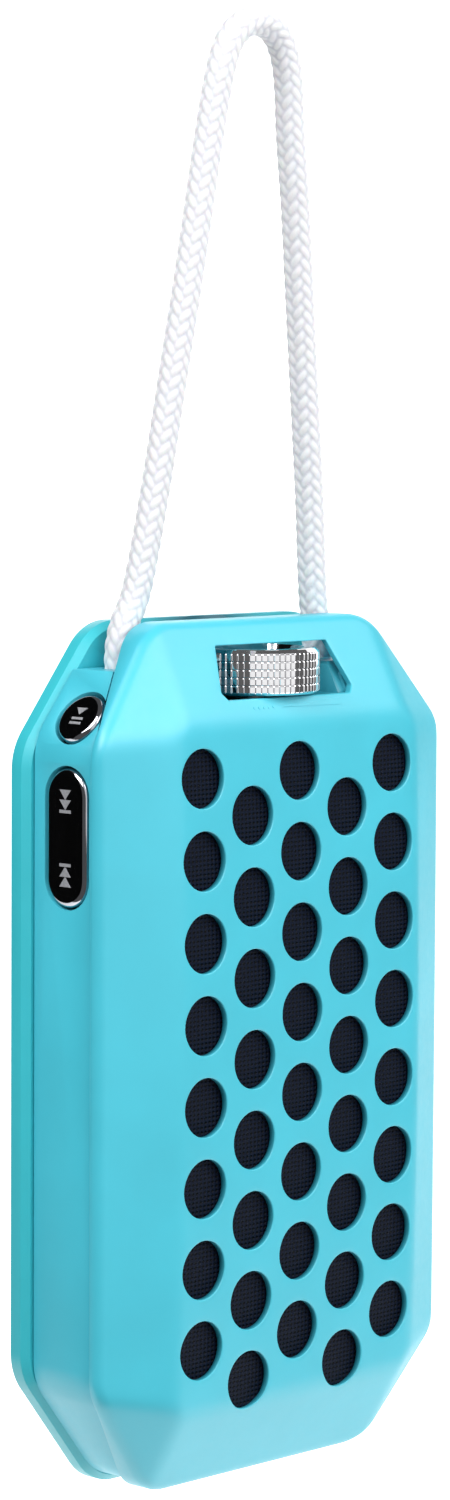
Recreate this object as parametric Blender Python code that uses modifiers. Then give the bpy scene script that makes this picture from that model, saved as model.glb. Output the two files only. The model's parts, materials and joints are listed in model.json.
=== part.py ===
"""Portable bluetooth speaker on a rope loop, as an assembly of separate pieces.

Metres, +Z up, the front faces -Y. The world origin is the hang point, the inside of the rope loop's
apex. The pieces are drawn in the face frame, whose origin is the centre of the sound-hole pattern on
the front face (X right, Y back, Z up), and an empty carries that frame to its place under the origin.
"""
import math

import bmesh
import bpy
from mathutils import Matrix, Vector

# ---------------------------------------------------------------- driving dimensions
# Where the face frame lies under the hang point
HANG_OVER_FACE = 0.1788
HANG_BEHIND_FACE = 0.0125

# Outline of the shell seen from the front: a tall rectangle with its four corners cut
SHELL_HALF_WIDTH = 0.0433
SHELL_TOP = 0.0785
SHELL_BOTTOM = -0.0715
CORNER_CUT_X = 0.0154
CORNER_CUT_Z = 0.0194
CORNER_RADIUS = 0.0105

# Front shell: a flat face with slanted facets round it, then a short lip
SHELL_WALL = 0.0012
FACE_HALF_WIDTH = 0.030
FACE_TOP = 0.0615
FACE_BOTTOM = -0.0565
FACE_CORNER_X = 0.0022
FACE_CORNER_Z = 0.0030
FACE_CORNER_RADIUS = 0.0012
FACE_CROWN = 0.41
CROWN_STRIPS = 9
FACET_DEPTH_SIDE = 0.0068
FACET_DEPTH_END = 0.0102
LIP_DEPTH_SIDE = 0.0090
LIP_SLOPE = 0.40
LIP_STRAIGHT = 0.0025
LIP_ROUND = 0.0016

# Sound holes: five columns of eight, in a hexagonal pattern
HOLE_RADIUS = 0.0051
HOLE_PITCH = 0.014
HOLE_COLUMN_STEP = 0.01205
HOLE_COLUMNS = 5
HOLE_ROWS = 8
HOLE_CUT_LENGTH = 0.024

# Window over the volume wheel, in the upper facet
WINDOW_BOTTOM = 0.0652
WINDOW_TOP = 0.0743
WINDOW_HALF_TOP = 0.0141
WINDOW_HALF_WIDE = 0.0166
WINDOW_HALF_BOTTOM = 0.0154
WINDOW_SHOULDER = 0.0013

# Middle housing: the band between the front shell and the back cover
BAND_INSET = 0.0007
BAND_MITRE = 1.6
BAND_WALL = 0.0026
BAND_BACK = 0.0230
TONGUE_INSET = 0.0018
TONGUE_LENGTH = 0.0013
FACET_CLEARANCE = 0.0013
INNER_CORNER_RADIUS = 0.0006
BAND_CORNERS_OUTSIDE = (0, 1, 2, 9, 10, 11)
ARC_STEPS = 3
SLOT_FLOOR = 0.0705
POCKET_FLOOR = 0.0645
POCKET_HALF_WIDTH = 0.0150

# Back cover with its raised rim
RIM_HALF_WIDTH = 0.0442
RIM_TOP = 0.0784
RIM_BOTTOM = -0.0723
RIM_CUT_X = 0.0173
RIM_CUT_Z = 0.0219
RIM_TOP_CUT_X = 0.0168
RIM_TOP_CUT_Z = 0.0212
RIM_CHAMFER = 0.0011
RIM_FRONT = 0.0233
RIM_SHOULDER = 0.0246
RIM_BACK = 0.0270
BACK_EDGE_DEPTH = 0.0286
BACK_EDGE_INSET = 0.0021
BACK_PANEL_DEPTH = 0.0305
BACK_PANEL_INSET = 0.0114
BACK_PANEL_RADIUS = 0.0040

GAP = 0.0003

# Volume wheel, on an upright axis
WHEEL_RADIUS = 0.0118
WHEEL_AXIS_Y = 0.0126
WHEEL_BOTTOM = 0.0656
WHEEL_TOP = 0.0735
WHEEL_CHAMFER = 0.0007
WHEEL_DISH_RADIUS = 0.0088
WHEEL_DISH_DEPTH = 0.0010
SHAFT_RADIUS = 0.0020
POT_SIZE = (0.0120, 0.0110, 0.0050)
VOLUME_BOARD_SIZE = (0.0260, 0.0150, 0.0012)
VOLUME_BOARD_SHIFT = 0.0018

# Buttons on the left side
BUTTON_CENTRE_Y = 0.0152
PLAY_OPENING_RADIUS = 0.0052
PLAY_CAP_RADIUS = 0.0047
PLAY_ALONG_CUT = 0.0050
PLAY_PROUD = 0.0005
ROCKER_CENTRE_Z = 0.0427
ROCKER_OPENING = (0.0245, 0.0106)
ROCKER_CAP = (0.0236, 0.0097)
ROCKER_PROUD = 0.0004
ROCKER_PIN_DEPTH = 0.0058
ROCKER_PIN_RADIUS = 0.0009
BUTTON_TRAVEL_GAP = 0.0008
PLAY_FLANGE_DEPTH = 0.0014
PLAY_FLANGE_THICKNESS = 0.0008
PLAY_STEM_RADIUS = 0.0015
PLAY_STEM_LENGTH = 0.0012
ROCKER_UNDER_GAP = 0.0004
ROCKER_HUB_SIZE = (0.0050, 0.0036)
ROCKER_NIB_HEIGHT = 0.0080
ROCKER_NIB_SIZE = (0.0026, 0.0030, 0.0030)
SWITCH_RADIUS = 0.0022
SWITCH_HEIGHT = 0.0016
BUTTON_BOARD_SIZE = (0.0010, 0.0110, 0.0250)

# Rope handle
ROPE_DIAMETER = 0.0052
ROPE_EXIT_Y = 0.0190
ROPE_LEFT_X = -0.0264
ROPE_RIGHT_X = 0.0236
ROPE_HOLE_X = 0.0243
ROPE_HOLE_RADIUS = 0.0030
ROPE_HOLE_HALF_SLOT = 0.0022
FERRULE_RADIUS = 0.0038
FERRULE_LENGTH = 0.0070

# Drivers, baffle and electronics
DRIVER_HEIGHTS = {"upper": 0.0290, "lower": -0.0290}
BAFFLE_FRONT = 0.0073
BAFFLE_THICKNESS = 0.0020
BAFFLE_TOP = 0.0535
BAFFLE_BOTTOM = -0.0600
BAFFLE_CUT = 0.0130
BOSS_ROOT = 0.0010
PILOT_LENGTH = 0.0220
DRIVER_SEAT_RADIUS = 0.0186
MESH_GAP = 0.0003
MESH_THICKNESS = 0.0005
MESH_TOP = 0.0585
MESH_BOTTOM = -0.0580
MESH_HALF_WIDTH = 0.0292
MESH_HALF_FOOT = 0.0260
SCREW_PLACES = ((-0.0300, 0.0470), (0.0300, 0.0470), (-0.0300, -0.0500), (0.0300, -0.0500))
SCREW_HEAD_RADIUS = 0.0024
SCREW_SHANK_RADIUS = 0.0011
SCREW_LENGTH = 0.0110
SCREW_POINT = 0.0015
SCREW_HEAD = 0.0016
SCREW_SINK = 0.0026
BOSS_RADIUS = 0.0028

TURN_STEPS = 24
CLOSE = 0.00001
CUT_REACH = 0.006
SMALL_BEVEL = 0.0004

# ---------------------------------------------------------------- scene and materials
for leftover in list(bpy.data.objects):
    bpy.data.objects.remove(leftover, do_unlink=True)

parts = bpy.data.collections.new("bluetooth_speaker")
cutters = bpy.data.collections.new("speaker_cutters")
bpy.context.scene.collection.children.link(parts)
bpy.context.scene.collection.children.link(cutters)

face_frame = bpy.data.objects.new("face_frame", None)
face_frame.location = (0.0, -HANG_BEHIND_FACE, -HANG_OVER_FACE)
parts.objects.link(face_frame)


def make_material(name, colour, roughness, metallic=0.0):
    """A plain Principled material."""
    material = bpy.data.materials.new(name)
    material.use_nodes = True
    shader = material.node_tree.nodes["Principled BSDF"]
    shader.inputs["Base Color"].default_value = (*colour, 1.0)
    shader.inputs["Roughness"].default_value = roughness
    shader.inputs["Metallic"].default_value = metallic
    return material


TURQUOISE = make_material("turquoise_plastic", (0.12, 0.63, 0.76), 0.38)
TURQUOISE_RIM = make_material("turquoise_rim", (0.09, 0.62, 0.70), 0.38)
MESH_BLACK = make_material("mesh_black", (0.012, 0.016, 0.028), 0.6)
CHROME = make_material("chrome", (0.80, 0.80, 0.82), 0.08, 1.0)
ROPE_WHITE = make_material("rope_white", (0.86, 0.87, 0.88), 0.85)
DARK_PLASTIC = make_material("dark_plastic", (0.03, 0.03, 0.035), 0.5)
PAPER_CONE = make_material("paper_cone", (0.05, 0.05, 0.055), 0.8)
RUBBER = make_material("rubber", (0.02, 0.02, 0.02), 0.7)
STEEL = make_material("steel", (0.60, 0.60, 0.62), 0.3, 1.0)
COPPER = make_material("copper", (0.72, 0.36, 0.18), 0.35, 1.0)
BOARD_GREEN = make_material("board_green", (0.02, 0.18, 0.08), 0.5)
FOIL = make_material("battery_foil", (0.55, 0.57, 0.60), 0.35)


# ---------------------------------------------------------------- outlines in the XZ plane
def rounded(corners, radius, steps):
    """The closed polygon with each of its corners turned into an arc of the given radius."""
    points = []
    for index, corner in enumerate(corners):
        here = Vector(corner)
        back = (Vector(corners[index - 1]) - here).normalized()
        ahead = (Vector(corners[(index + 1) % len(corners)]) - here).normalized()
        half_angle = back.angle(ahead) / 2
        reach = radius / math.tan(half_angle)
        centre = here + (back + ahead).normalized() * (radius / math.sin(half_angle))
        start = here + back * reach - centre
        end = here + ahead * reach - centre
        for step in range(steps + 1):
            spoke = start.normalized().slerp(end.normalized(), step / steps)
            points.append(tuple(centre + spoke * start.length))
    return points


def inset(points, distance):
    """The closed anticlockwise polygon moved inwards by a distance, with mitred corners."""
    moved = []
    for index, point in enumerate(points):
        here = Vector(point)
        before = (here - Vector(points[index - 1])).normalized()
        after = (Vector(points[(index + 1) % len(points)]) - here).normalized()
        inward_before = Vector((-before.y, before.x))
        inward_after = Vector((-after.y, after.x))
        both = inward_before + inward_after
        moved.append(tuple(here + both * (distance / (1 + inward_before.dot(inward_after)))))
    return moved


def cut_rectangle(half_width, bottom, top, cut_x, cut_z):
    """Corners of a rectangle with cut corners, anticlockwise seen from the front."""
    right = [(half_width - cut_x, bottom), (half_width, bottom + cut_z),
             (half_width, top - cut_z), (half_width - cut_x, top)]
    left = [(-x, z) for x, z in reversed(right)]
    return right + left


def pill(half_length, half_width, steps):
    """A slot shape with round ends, long along its second axis."""
    straight = half_length - half_width
    points = []
    for step in range(steps + 1):
        angle = math.pi * step / steps
        points.append((half_width * math.cos(angle), straight + half_width * math.sin(angle)))
    return points + [(-x, -z) for x, z in points]


SHELL_CORNERS = cut_rectangle(SHELL_HALF_WIDTH, SHELL_BOTTOM, SHELL_TOP, CORNER_CUT_X, CORNER_CUT_Z)
SHELL_OUTLINE = rounded(SHELL_CORNERS, CORNER_RADIUS, ARC_STEPS)
CUT_START_TOP = SHELL_TOP - CORNER_CUT_Z
CUT_START_BOTTOM = SHELL_BOTTOM + CORNER_CUT_Z


def towards_end(z):
    """0 along the straight sides, growing to 1 at the shell's top and bottom edges."""
    past = max(z - CUT_START_TOP, CUT_START_BOTTOM - z, 0.0)
    return past / CORNER_CUT_Z


def facet_depth(z):
    """How far back the slanted facets reach at a height."""
    return FACET_DEPTH_SIDE + (FACET_DEPTH_END - FACET_DEPTH_SIDE) * min(towards_end(z), 1.0)


def lip_depth(z):
    """How far back the front shell's lip reaches at a height."""
    past = max(towards_end(z) * CORNER_CUT_Z - LIP_STRAIGHT, 0.0)
    return LIP_DEPTH_SIDE + LIP_SLOPE * past


def crown(z):
    """How far the gently domed front face has fallen back at a height, in metres per square metre."""
    return FACE_CROWN * z * z


# ---------------------------------------------------------------- mesh helpers
def add_object(name, data, material, collection=parts):
    """Put a mesh or curve in the face frame."""
    item = bpy.data.objects.new(name, data)
    item.parent = face_frame
    collection.objects.link(item)
    if material is not None:
        data.materials.append(material)
    return item


def mesh_from(shape, name, outwards=True):
    """Turn a bmesh into a mesh, its faces pointing outwards unless they are right already."""
    if outwards:
        bmesh.ops.recalc_face_normals(shape, faces=shape.faces)
    mesh = bpy.data.meshes.new(name)
    shape.to_mesh(mesh)
    shape.free()
    return mesh


def smooth(item, angle=35):
    """Shade round, and keep the edges sharper than an angle."""
    item.data.shade_smooth()
    item.data.set_sharp_from_angle(angle=math.radians(angle))
    return item


def loft(rings, close_first, close_last):
    """Skin between closed rings that have the same number of points."""
    shape = bmesh.new()
    loops = [[shape.verts.new(point) for point in ring] for ring in rings]
    count = len(rings[0])
    for near, far in zip(loops, loops[1:]):
        for index in range(count):
            following = (index + 1) % count
            shape.faces.new((near[index], near[following], far[following], far[index]))
    if close_first:
        shape.faces.new(loops[0])
    if close_last:
        shape.faces.new(list(reversed(loops[-1])))
    return shape


def ring(outline, depth):
    """The outline as points in space; depth is a number or a function of the place in the outline."""
    if callable(depth):
        return [(x, depth(x, z), z) for x, z in outline]
    return [(x, depth, z) for x, z in outline]


def prism(name, outline, front, back, material=None, collection=parts):
    """An outline in XZ, extruded along Y."""
    return add_object(name, mesh_from(loft([ring(outline, front), ring(outline, back)], True, True), name),
                      material, collection)


def block(name, centre, size, material=None, bevel=0.0, collection=parts):
    """A box, with bevelled edges when a width is given."""
    shape = bmesh.new()
    bmesh.ops.create_cube(shape, size=1.0)
    bmesh.ops.scale(shape, vec=size, verts=shape.verts)
    item = add_object(name, mesh_from(shape, name), material, collection)
    item.location = centre
    if bevel:
        edges = item.modifiers.new("edges", "BEVEL")
        edges.width = bevel
        edges.segments = 1
    return item


def rod(name, centre, axis, radius, length, material=None, steps=TURN_STEPS, collection=parts):
    """A cylinder along any axis."""
    shape = bmesh.new()
    bmesh.ops.create_cone(shape, cap_ends=True, segments=steps, radius1=radius, radius2=radius, depth=length)
    item = add_object(name, mesh_from(shape, name), material, collection)
    item.location = centre
    item.rotation_euler = Vector(axis).to_track_quat("Z", "Y").to_euler()
    return smooth(item)


def turned(name, profile, centre, axis, material, steps=TURN_STEPS):
    """A closed profile of (radius, height) points, turned round an axis with a Screw modifier.

    A profile that starts and ends on the axis makes a solid piece, any other makes a ring.
    """
    on_axis = profile[0][0] == 0.0 and profile[-1][0] == 0.0
    shape = bmesh.new()
    verts = [shape.verts.new((radius, 0.0, height)) for radius, height in profile]
    for first, second in zip(verts, verts[1:]):
        shape.edges.new((first, second))
    if not on_axis:
        shape.edges.new((verts[-1], verts[0]))
    mesh = bpy.data.meshes.new(name)
    shape.to_mesh(mesh)
    shape.free()
    item = add_object(name, mesh, material)
    item.location = centre
    item.rotation_euler = Vector(axis).to_track_quat("Z", "Y").to_euler()
    screw = item.modifiers.new("turn", "SCREW")
    screw.steps = steps
    screw.render_steps = steps
    screw.use_merge_vertices = True
    screw.merge_threshold = CLOSE
    screw.use_smooth_shade = False
    return item


def hide_cutter(item):
    """Mark a piece as a cutter, which only shows as a wire."""
    item.hide_render = True
    item.display_type = "WIRE"
    return item


def combine(item, tool, operation="DIFFERENCE"):
    """Add an exact Boolean with another object."""
    cut = item.modifiers.new(tool.name, "BOOLEAN")
    cut.operation = operation
    cut.solver = "EXACT"
    cut.object = tool
    return cut


# ---------------------------------------------------------------- front shell and mesh
def sound_holes():
    """All the sound holes as one cutter."""
    shape = bmesh.new()
    turn_to_y = Matrix.Rotation(math.pi / 2, 4, "X")
    for column in range(HOLE_COLUMNS):
        x = (column - (HOLE_COLUMNS - 1) / 2) * HOLE_COLUMN_STEP
        drop = (column % 2) * HOLE_PITCH / 2
        for row in range(HOLE_ROWS):
            z = (HOLE_ROWS - 1) / 2 * HOLE_PITCH + HOLE_PITCH / 4 - drop - row * HOLE_PITCH
            place = Matrix.Translation((x, 0.0, z)) @ turn_to_y
            bmesh.ops.create_cone(shape, cap_ends=True, segments=16, radius1=HOLE_RADIUS,
                                  radius2=HOLE_RADIUS, depth=HOLE_CUT_LENGTH, matrix=place)
    return hide_cutter(add_object("cut_sound_holes", mesh_from(shape, "cut_sound_holes"), None, cutters))


def window_outline():
    """The wheel window: a trapezoid with its two lower corners taken off."""
    right = [(WINDOW_HALF_BOTTOM, WINDOW_BOTTOM), (WINDOW_HALF_WIDE, WINDOW_BOTTOM + WINDOW_SHOULDER),
             (WINDOW_HALF_TOP, WINDOW_TOP)]
    return right + [(-x, z) for x, z in reversed(right)]


def front_surface():
    """The outer skin of the front shell: flat face, facets, rounded edge and lip."""
    face = rounded(cut_rectangle(FACE_HALF_WIDTH, FACE_BOTTOM, FACE_TOP, FACE_CORNER_X, FACE_CORNER_Z),
                   FACE_CORNER_RADIUS, ARC_STEPS)
    facet_end = inset(SHELL_OUTLINE, LIP_ROUND)
    middle = inset(SHELL_OUTLINE, 0.25 * LIP_ROUND)
    rings = [ring(face, 0.0),
             ring(facet_end, lambda x, z: facet_depth(z) - 0.3 * LIP_ROUND),
             ring(middle, lambda x, z: facet_depth(z) + 0.35 * LIP_ROUND),
             ring(SHELL_OUTLINE, lambda x, z: facet_depth(z) + LIP_ROUND),
             ring(SHELL_OUTLINE, lambda x, z: lip_depth(z))]
    shape = loft(rings, True, False)
    for step in range(1, CROWN_STRIPS):
        height = FACE_BOTTOM + (FACE_TOP - FACE_BOTTOM) * step / CROWN_STRIPS
        bmesh.ops.bisect_plane(shape, geom=list(shape.verts) + list(shape.edges) + list(shape.faces),
                               plane_co=(0, 0, height), plane_no=(0, 0, 1))
    for vert in shape.verts:
        if vert.co.y < CLOSE:
            vert.co.y = crown(vert.co.z)
    return shape


def make_front_shell():
    """The perforated turquoise front cover."""
    shell = add_object("front_shell", mesh_from(front_surface(), "front_shell"), TURQUOISE)
    wall = shell.modifiers.new("wall", "SOLIDIFY")
    wall.thickness = SHELL_WALL
    wall.offset = -1.0
    wall.use_even_offset = True
    wall.use_quality_normals = True
    combine(shell, sound_holes())
    window = prism("cut_window", window_outline(), -SHELL_WALL, LIP_DEPTH_SIDE + 3 * SHELL_WALL, None,
                   cutters)
    combine(shell, hide_cutter(window))
    return smooth(shell, 25)


def make_speaker_mesh():
    """The dark mesh panel that backs all the sound holes."""
    span = MESH_TOP - FACE_BOTTOM
    heights = [FACE_BOTTOM + span * step / CROWN_STRIPS for step in range(CROWN_STRIPS + 1)]
    depths = [crown(z) + SHELL_WALL + MESH_GAP for z in heights]
    lower_slope = (FACET_DEPTH_END - crown(FACE_BOTTOM)) / (FACE_BOTTOM - SHELL_BOTTOM)
    heights.insert(0, MESH_BOTTOM)
    depths.insert(0, depths[0] + (FACE_BOTTOM - MESH_BOTTOM) * lower_slope + MESH_GAP)
    shape = bmesh.new()
    rows = []
    for y, z in zip(depths, heights):
        half = MESH_HALF_FOOT if z < FACE_BOTTOM + GAP else MESH_HALF_WIDTH
        rows.append([shape.verts.new((x, y, z)) for x in (-half, half)])
    for low, high in zip(rows, rows[1:]):
        shape.faces.new((low[0], low[1], high[1], high[0]))
    panel = add_object("speaker_mesh", mesh_from(shape, "speaker_mesh", False), MESH_BLACK)
    wall = panel.modifiers.new("wall", "SOLIDIFY")
    wall.thickness = MESH_THICKNESS
    wall.offset = -1.0
    return panel


# ---------------------------------------------------------------- middle housing
def band_corners():
    """The housing's outline: the shell's, with a flat slot floor and a pocket for the wheel."""
    half = SHELL_HALF_WIDTH - BAND_INSET
    bottom = SHELL_BOTTOM + BAND_INSET
    slope = CORNER_CUT_X / CORNER_CUT_Z
    floor_half = half - (SLOT_FLOOR - CUT_START_TOP) * slope
    right = [(half - CORNER_CUT_X, bottom), (half, bottom + CORNER_CUT_Z), (half, CUT_START_TOP),
             (floor_half, SLOT_FLOOR), (POCKET_HALF_WIDTH, SLOT_FLOOR), (POCKET_HALF_WIDTH, POCKET_FLOOR)]
    return right + [(-x, z) for x, z in reversed(right)]


def band_outline(distance=0.0):
    """The housing's outline moved inwards by a distance, its outer corners rounded like the shell's."""
    corners = inset(band_corners(), distance)
    large = rounded(corners, CORNER_RADIUS - distance, ARC_STEPS)
    small = rounded(corners, INNER_CORNER_RADIUS, ARC_STEPS)
    outline = []
    for index in range(len(corners)):
        source = large if index in BAND_CORNERS_OUTSIDE else small
        first = index * (ARC_STEPS + 1)
        outline += source[first:first + ARC_STEPS + 1]
    return outline


def behind_top_facet(z):
    """A depth just behind the inside of the upper facet."""
    slope = (FACET_DEPTH_END - crown(FACE_TOP)) / (SHELL_TOP - FACE_TOP)
    return crown(FACE_TOP) + (z - FACE_TOP) * slope + 1.15 * SHELL_WALL + 2 * GAP


def at_pocket(x, z):
    """True at the wheel pocket, where the housing reaches up to the back of the facet."""
    return z > FACE_TOP - GAP and abs(x) < POCKET_HALF_WIDTH + BAND_WALL + GAP


def band_front(x, z, distance):
    """Front edge of the visible band: a gap behind the lip, or up to the facet at the wheel pocket.

    The distance is how far inside the shell's outline the edge lies.
    """
    if at_pocket(x, z):
        return behind_top_facet(z) + 2 * GAP
    return lip_depth(z + math.copysign(distance * BAND_MITRE, z)) + GAP


def tongue_front(x, z):
    """Front edge of the tongue that keys into the front shell."""
    if at_pocket(x, z):
        return behind_top_facet(z)
    return max(lip_depth(z) + GAP - TONGUE_LENGTH, facet_depth(z) + FACET_CLEARANCE)


def chamfer_frame():
    """Centre and outward normal of the play button on the upper left corner cut."""
    length = math.hypot(CORNER_CUT_X, CORNER_CUT_Z)
    along = Vector((CORNER_CUT_X / length, 0.0, CORNER_CUT_Z / length))
    normal = Vector((-CORNER_CUT_Z / length, 0.0, CORNER_CUT_X / length))
    start = Vector((-(SHELL_HALF_WIDTH - BAND_INSET), BUTTON_CENTRE_Y, CUT_START_TOP))
    return start + along * PLAY_ALONG_CUT, normal


def make_mid_housing():
    """The ring that carries the buttons, sockets, slot floor and wheel pocket."""
    outline = band_outline()
    tongue = band_outline(TONGUE_INSET)
    inner = band_outline(BAND_WALL)
    rings = [ring(outline, BAND_BACK), ring(outline, lambda x, z: band_front(x, z, BAND_INSET)),
             ring(tongue, lambda x, z: band_front(x, z, BAND_INSET + TONGUE_INSET)),
             ring(tongue, tongue_front), ring(inner, tongue_front), ring(inner, BAND_BACK),
             ring(outline, BAND_BACK)]
    shape = loft(rings, False, False)
    bmesh.ops.remove_doubles(shape, verts=shape.verts, dist=CLOSE)
    housing = add_object("mid_housing", mesh_from(shape, "mid_housing"), TURQUOISE)
    centre, normal = chamfer_frame()
    openings = [rod("cut_play_hole", centre, normal, PLAY_OPENING_RADIUS, 2 * CUT_REACH, None, 32, cutters)]
    slot = pill(ROCKER_OPENING[0] / 2, ROCKER_OPENING[1] / 2, 8)
    rocker_hole = prism("cut_rocker_hole", slot, -CUT_REACH, CUT_REACH, None, cutters)
    rocker_hole.rotation_euler = (0.0, 0.0, -math.pi / 2)
    rocker_hole.location = (-SHELL_HALF_WIDTH, BUTTON_CENTRE_Y, ROCKER_CENTRE_Z)
    openings.append(rocker_hole)
    for name, middle, size in SOCKETS:
        openings.append(block("cut_" + name, (SHELL_HALF_WIDTH, middle[1], middle[2]),
                              (2 * CUT_REACH, size[1] + 2 * GAP, size[2] + 2 * GAP), None, 0.0, cutters))
    for side in (-1, 1):
        hole = prism("cut_rope_hole_" + ("left" if side < 0 else "right"),
                     pill(ROPE_HOLE_HALF_SLOT + ROPE_HOLE_RADIUS, ROPE_HOLE_RADIUS, 8),
                     -CUT_REACH, CUT_REACH, None, cutters)
        hole.rotation_euler = (math.pi / 2, 0.0, math.pi / 2)
        hole.location = (side * ROPE_HOLE_X, ROPE_EXIT_Y, SLOT_FLOOR)
        openings.append(hole)
    openings.append(rod("cut_shaft_hole", (0, WHEEL_AXIS_Y, POCKET_FLOOR), (0, 0, 1), SHAFT_RADIUS + GAP,
                        4 * BAND_WALL, None, 16, cutters))
    for opening in openings:
        combine(housing, hide_cutter(opening))
    return smooth(housing, 30)


# ---------------------------------------------------------------- back cover
def rim_corners():
    """Corners of the rim's outline, cut a little less at the top than at the bottom."""
    right = [(RIM_HALF_WIDTH - RIM_CUT_X, RIM_BOTTOM), (RIM_HALF_WIDTH, RIM_BOTTOM + RIM_CUT_Z),
             (RIM_HALF_WIDTH, RIM_TOP - RIM_TOP_CUT_Z), (RIM_HALF_WIDTH - RIM_TOP_CUT_X, RIM_TOP)]
    return right + [(-x, z) for x, z in reversed(right)]


def make_back_cover():
    """The back cover: a raised rim round a shallow faceted panel, hollow inside."""
    cavity = band_outline(BAND_WALL)
    corners = rim_corners()
    rim = rounded(corners, CORNER_RADIUS, ARC_STEPS)
    rim_front = inset(rim, RIM_CHAMFER)
    edge = inset(rim, BACK_EDGE_INSET)
    panel = rounded(inset(corners, BACK_PANEL_INSET), BACK_PANEL_RADIUS, ARC_STEPS)
    outer = loft([ring(rim_front, RIM_FRONT), ring(rim, RIM_SHOULDER), ring(rim, RIM_BACK),
                  ring(edge, BACK_EDGE_DEPTH), ring(panel, BACK_PANEL_DEPTH)], True, True)
    cover = add_object("back_cover", mesh_from(outer, "back_cover"), TURQUOISE_RIM)
    hollow = loft([ring(cavity, BAND_BACK - GAP), ring(cavity, RIM_BACK)], True, True)
    hollow_cutter = add_object("cut_back_hollow", mesh_from(hollow, "cut_back_hollow"), None, cutters)
    combine(cover, hide_cutter(hollow_cutter))
    groove = rod("cut_wheel_groove", (0, WHEEL_AXIS_Y, WHEEL_TOP), (0, 0, 1), WHEEL_RADIUS + 3 * GAP,
                 0.020, None, 40, cutters)
    combine(cover, hide_cutter(groove))
    for number, (x, z) in enumerate(SCREW_PLACES, 1):
        bore = rod(f"cut_screw_{number}", (x, BACK_PANEL_DEPTH, z), (0, 1, 0), SCREW_HEAD_RADIUS + GAP,
                   2 * SCREW_SINK, None, 16, cutters)
        combine(cover, hide_cutter(bore))
        hole = rod(f"cut_shank_{number}", (x, RIM_BACK, z), (0, 1, 0), SCREW_SHANK_RADIUS + GAP,
                   PILOT_LENGTH, None, 12, cutters)
        combine(cover, hide_cutter(hole))
    return smooth(cover, 30)


def make_screws():
    """Four pan-head screws that hold the back cover."""
    seat = BACK_PANEL_DEPTH - SCREW_SINK + GAP
    for number, (x, z) in enumerate(SCREW_PLACES, 1):
        profile = [(0.0, SCREW_HEAD), (SCREW_HEAD_RADIUS * 0.6, SCREW_HEAD),
                   (SCREW_HEAD_RADIUS, SCREW_HEAD * 0.4), (SCREW_HEAD_RADIUS, 0.0), (SCREW_SHANK_RADIUS, 0.0),
                   (SCREW_SHANK_RADIUS, SCREW_POINT - SCREW_LENGTH), (0.0, -SCREW_LENGTH)]
        turned(f"back_screw_{number}", profile, (x, seat, z), (0, 1, 0), STEEL, 16)


# ---------------------------------------------------------------- drivers
def make_baffle():
    """The inner board that the two drivers are fixed to."""
    half_width = SHELL_HALF_WIDTH - BAND_INSET - BAND_WALL - GAP
    corners = cut_rectangle(half_width, BAFFLE_BOTTOM, BAFFLE_TOP, BAFFLE_CUT, BAFFLE_CUT)
    back = BAFFLE_FRONT + BAFFLE_THICKNESS
    board = prism("baffle", corners, BAFFLE_FRONT, back, DARK_PLASTIC)
    for number, (x, z) in enumerate(SCREW_PLACES, 1):
        boss_start = back - BOSS_ROOT
        boss_end = RIM_BACK - GAP
        boss = rod(f"join_boss_{number}", (x, (boss_start + boss_end) / 2, z), (0, 1, 0), BOSS_RADIUS,
                   boss_end - boss_start, None, 16, cutters)
        combine(board, hide_cutter(boss), "UNION")
        pilot = rod(f"cut_boss_{number}", (x, boss_end, z), (0, 1, 0), SCREW_SHANK_RADIUS + GAP,
                    PILOT_LENGTH, None, 12, cutters)
        combine(board, hide_cutter(pilot))
    for place, height in DRIVER_HEIGHTS.items():
        seat = rod("cut_baffle_" + place, (0, BAFFLE_FRONT, height), (0, 1, 0), DRIVER_SEAT_RADIUS,
                   10 * BAFFLE_THICKNESS, None, 32, cutters)
        combine(board, hide_cutter(seat))
    return board


def make_driver(place, height):
    """One 40 mm driver. Its pieces are turned profiles whose height runs towards the front."""
    seat = BAFFLE_FRONT - GAP
    centre = (0, seat, height)
    front = (0, -1, 0)
    flange = 0.0209
    turned(f"driver_basket_{place}", [
        (0.0190, 0.0012), (flange, 0.0012), (flange, 0.0), (0.0182, 0.0), (0.0136, -0.0068),
        (0.0136, -0.0082), (0.0074, -0.0082), (0.0074, -0.0070), (0.0122, -0.0070), (0.0170, 0.0)],
        centre, front, STEEL)
    turned(f"driver_surround_{place}", [
        (0.0150, 0.0014), (0.0158, 0.0027), (0.0172, 0.0032), (0.0184, 0.0027), (0.0204, 0.0021),
        (0.0204, 0.0015), (0.0182, 0.0015), (0.0172, 0.0024), (0.0161, 0.0019), (0.0155, 0.0009)],
        centre, front, RUBBER)
    turned(f"driver_cone_{place}", [
        (0.0062, -0.0046), (0.0146, 0.0013), (0.0146, 0.0006), (0.0068, -0.0050)],
        centre, front, PAPER_CONE)
    turned(f"driver_dust_cap_{place}", [
        (0.0, -0.0012), (0.0024, -0.0014), (0.0046, -0.0024), (0.0057, -0.0040), (0.0052, -0.0040),
        (0.0042, -0.0028), (0.0022, -0.0019), (0.0, -0.0017)], centre, front, PAPER_CONE)
    turned(f"driver_voice_coil_{place}", [
        (0.0053, -0.0044), (0.0058, -0.0044), (0.0058, -0.0110), (0.0053, -0.0110)],
        centre, front, COPPER)
    turned(f"driver_motor_{place}", [
        (0.0, -0.0092), (0.0048, -0.0092), (0.0048, -0.0128), (0.0064, -0.0128), (0.0064, -0.0086),
        (0.0122, -0.0086), (0.0122, -0.0142), (0.0, -0.0142)], centre, front, STEEL)


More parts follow.
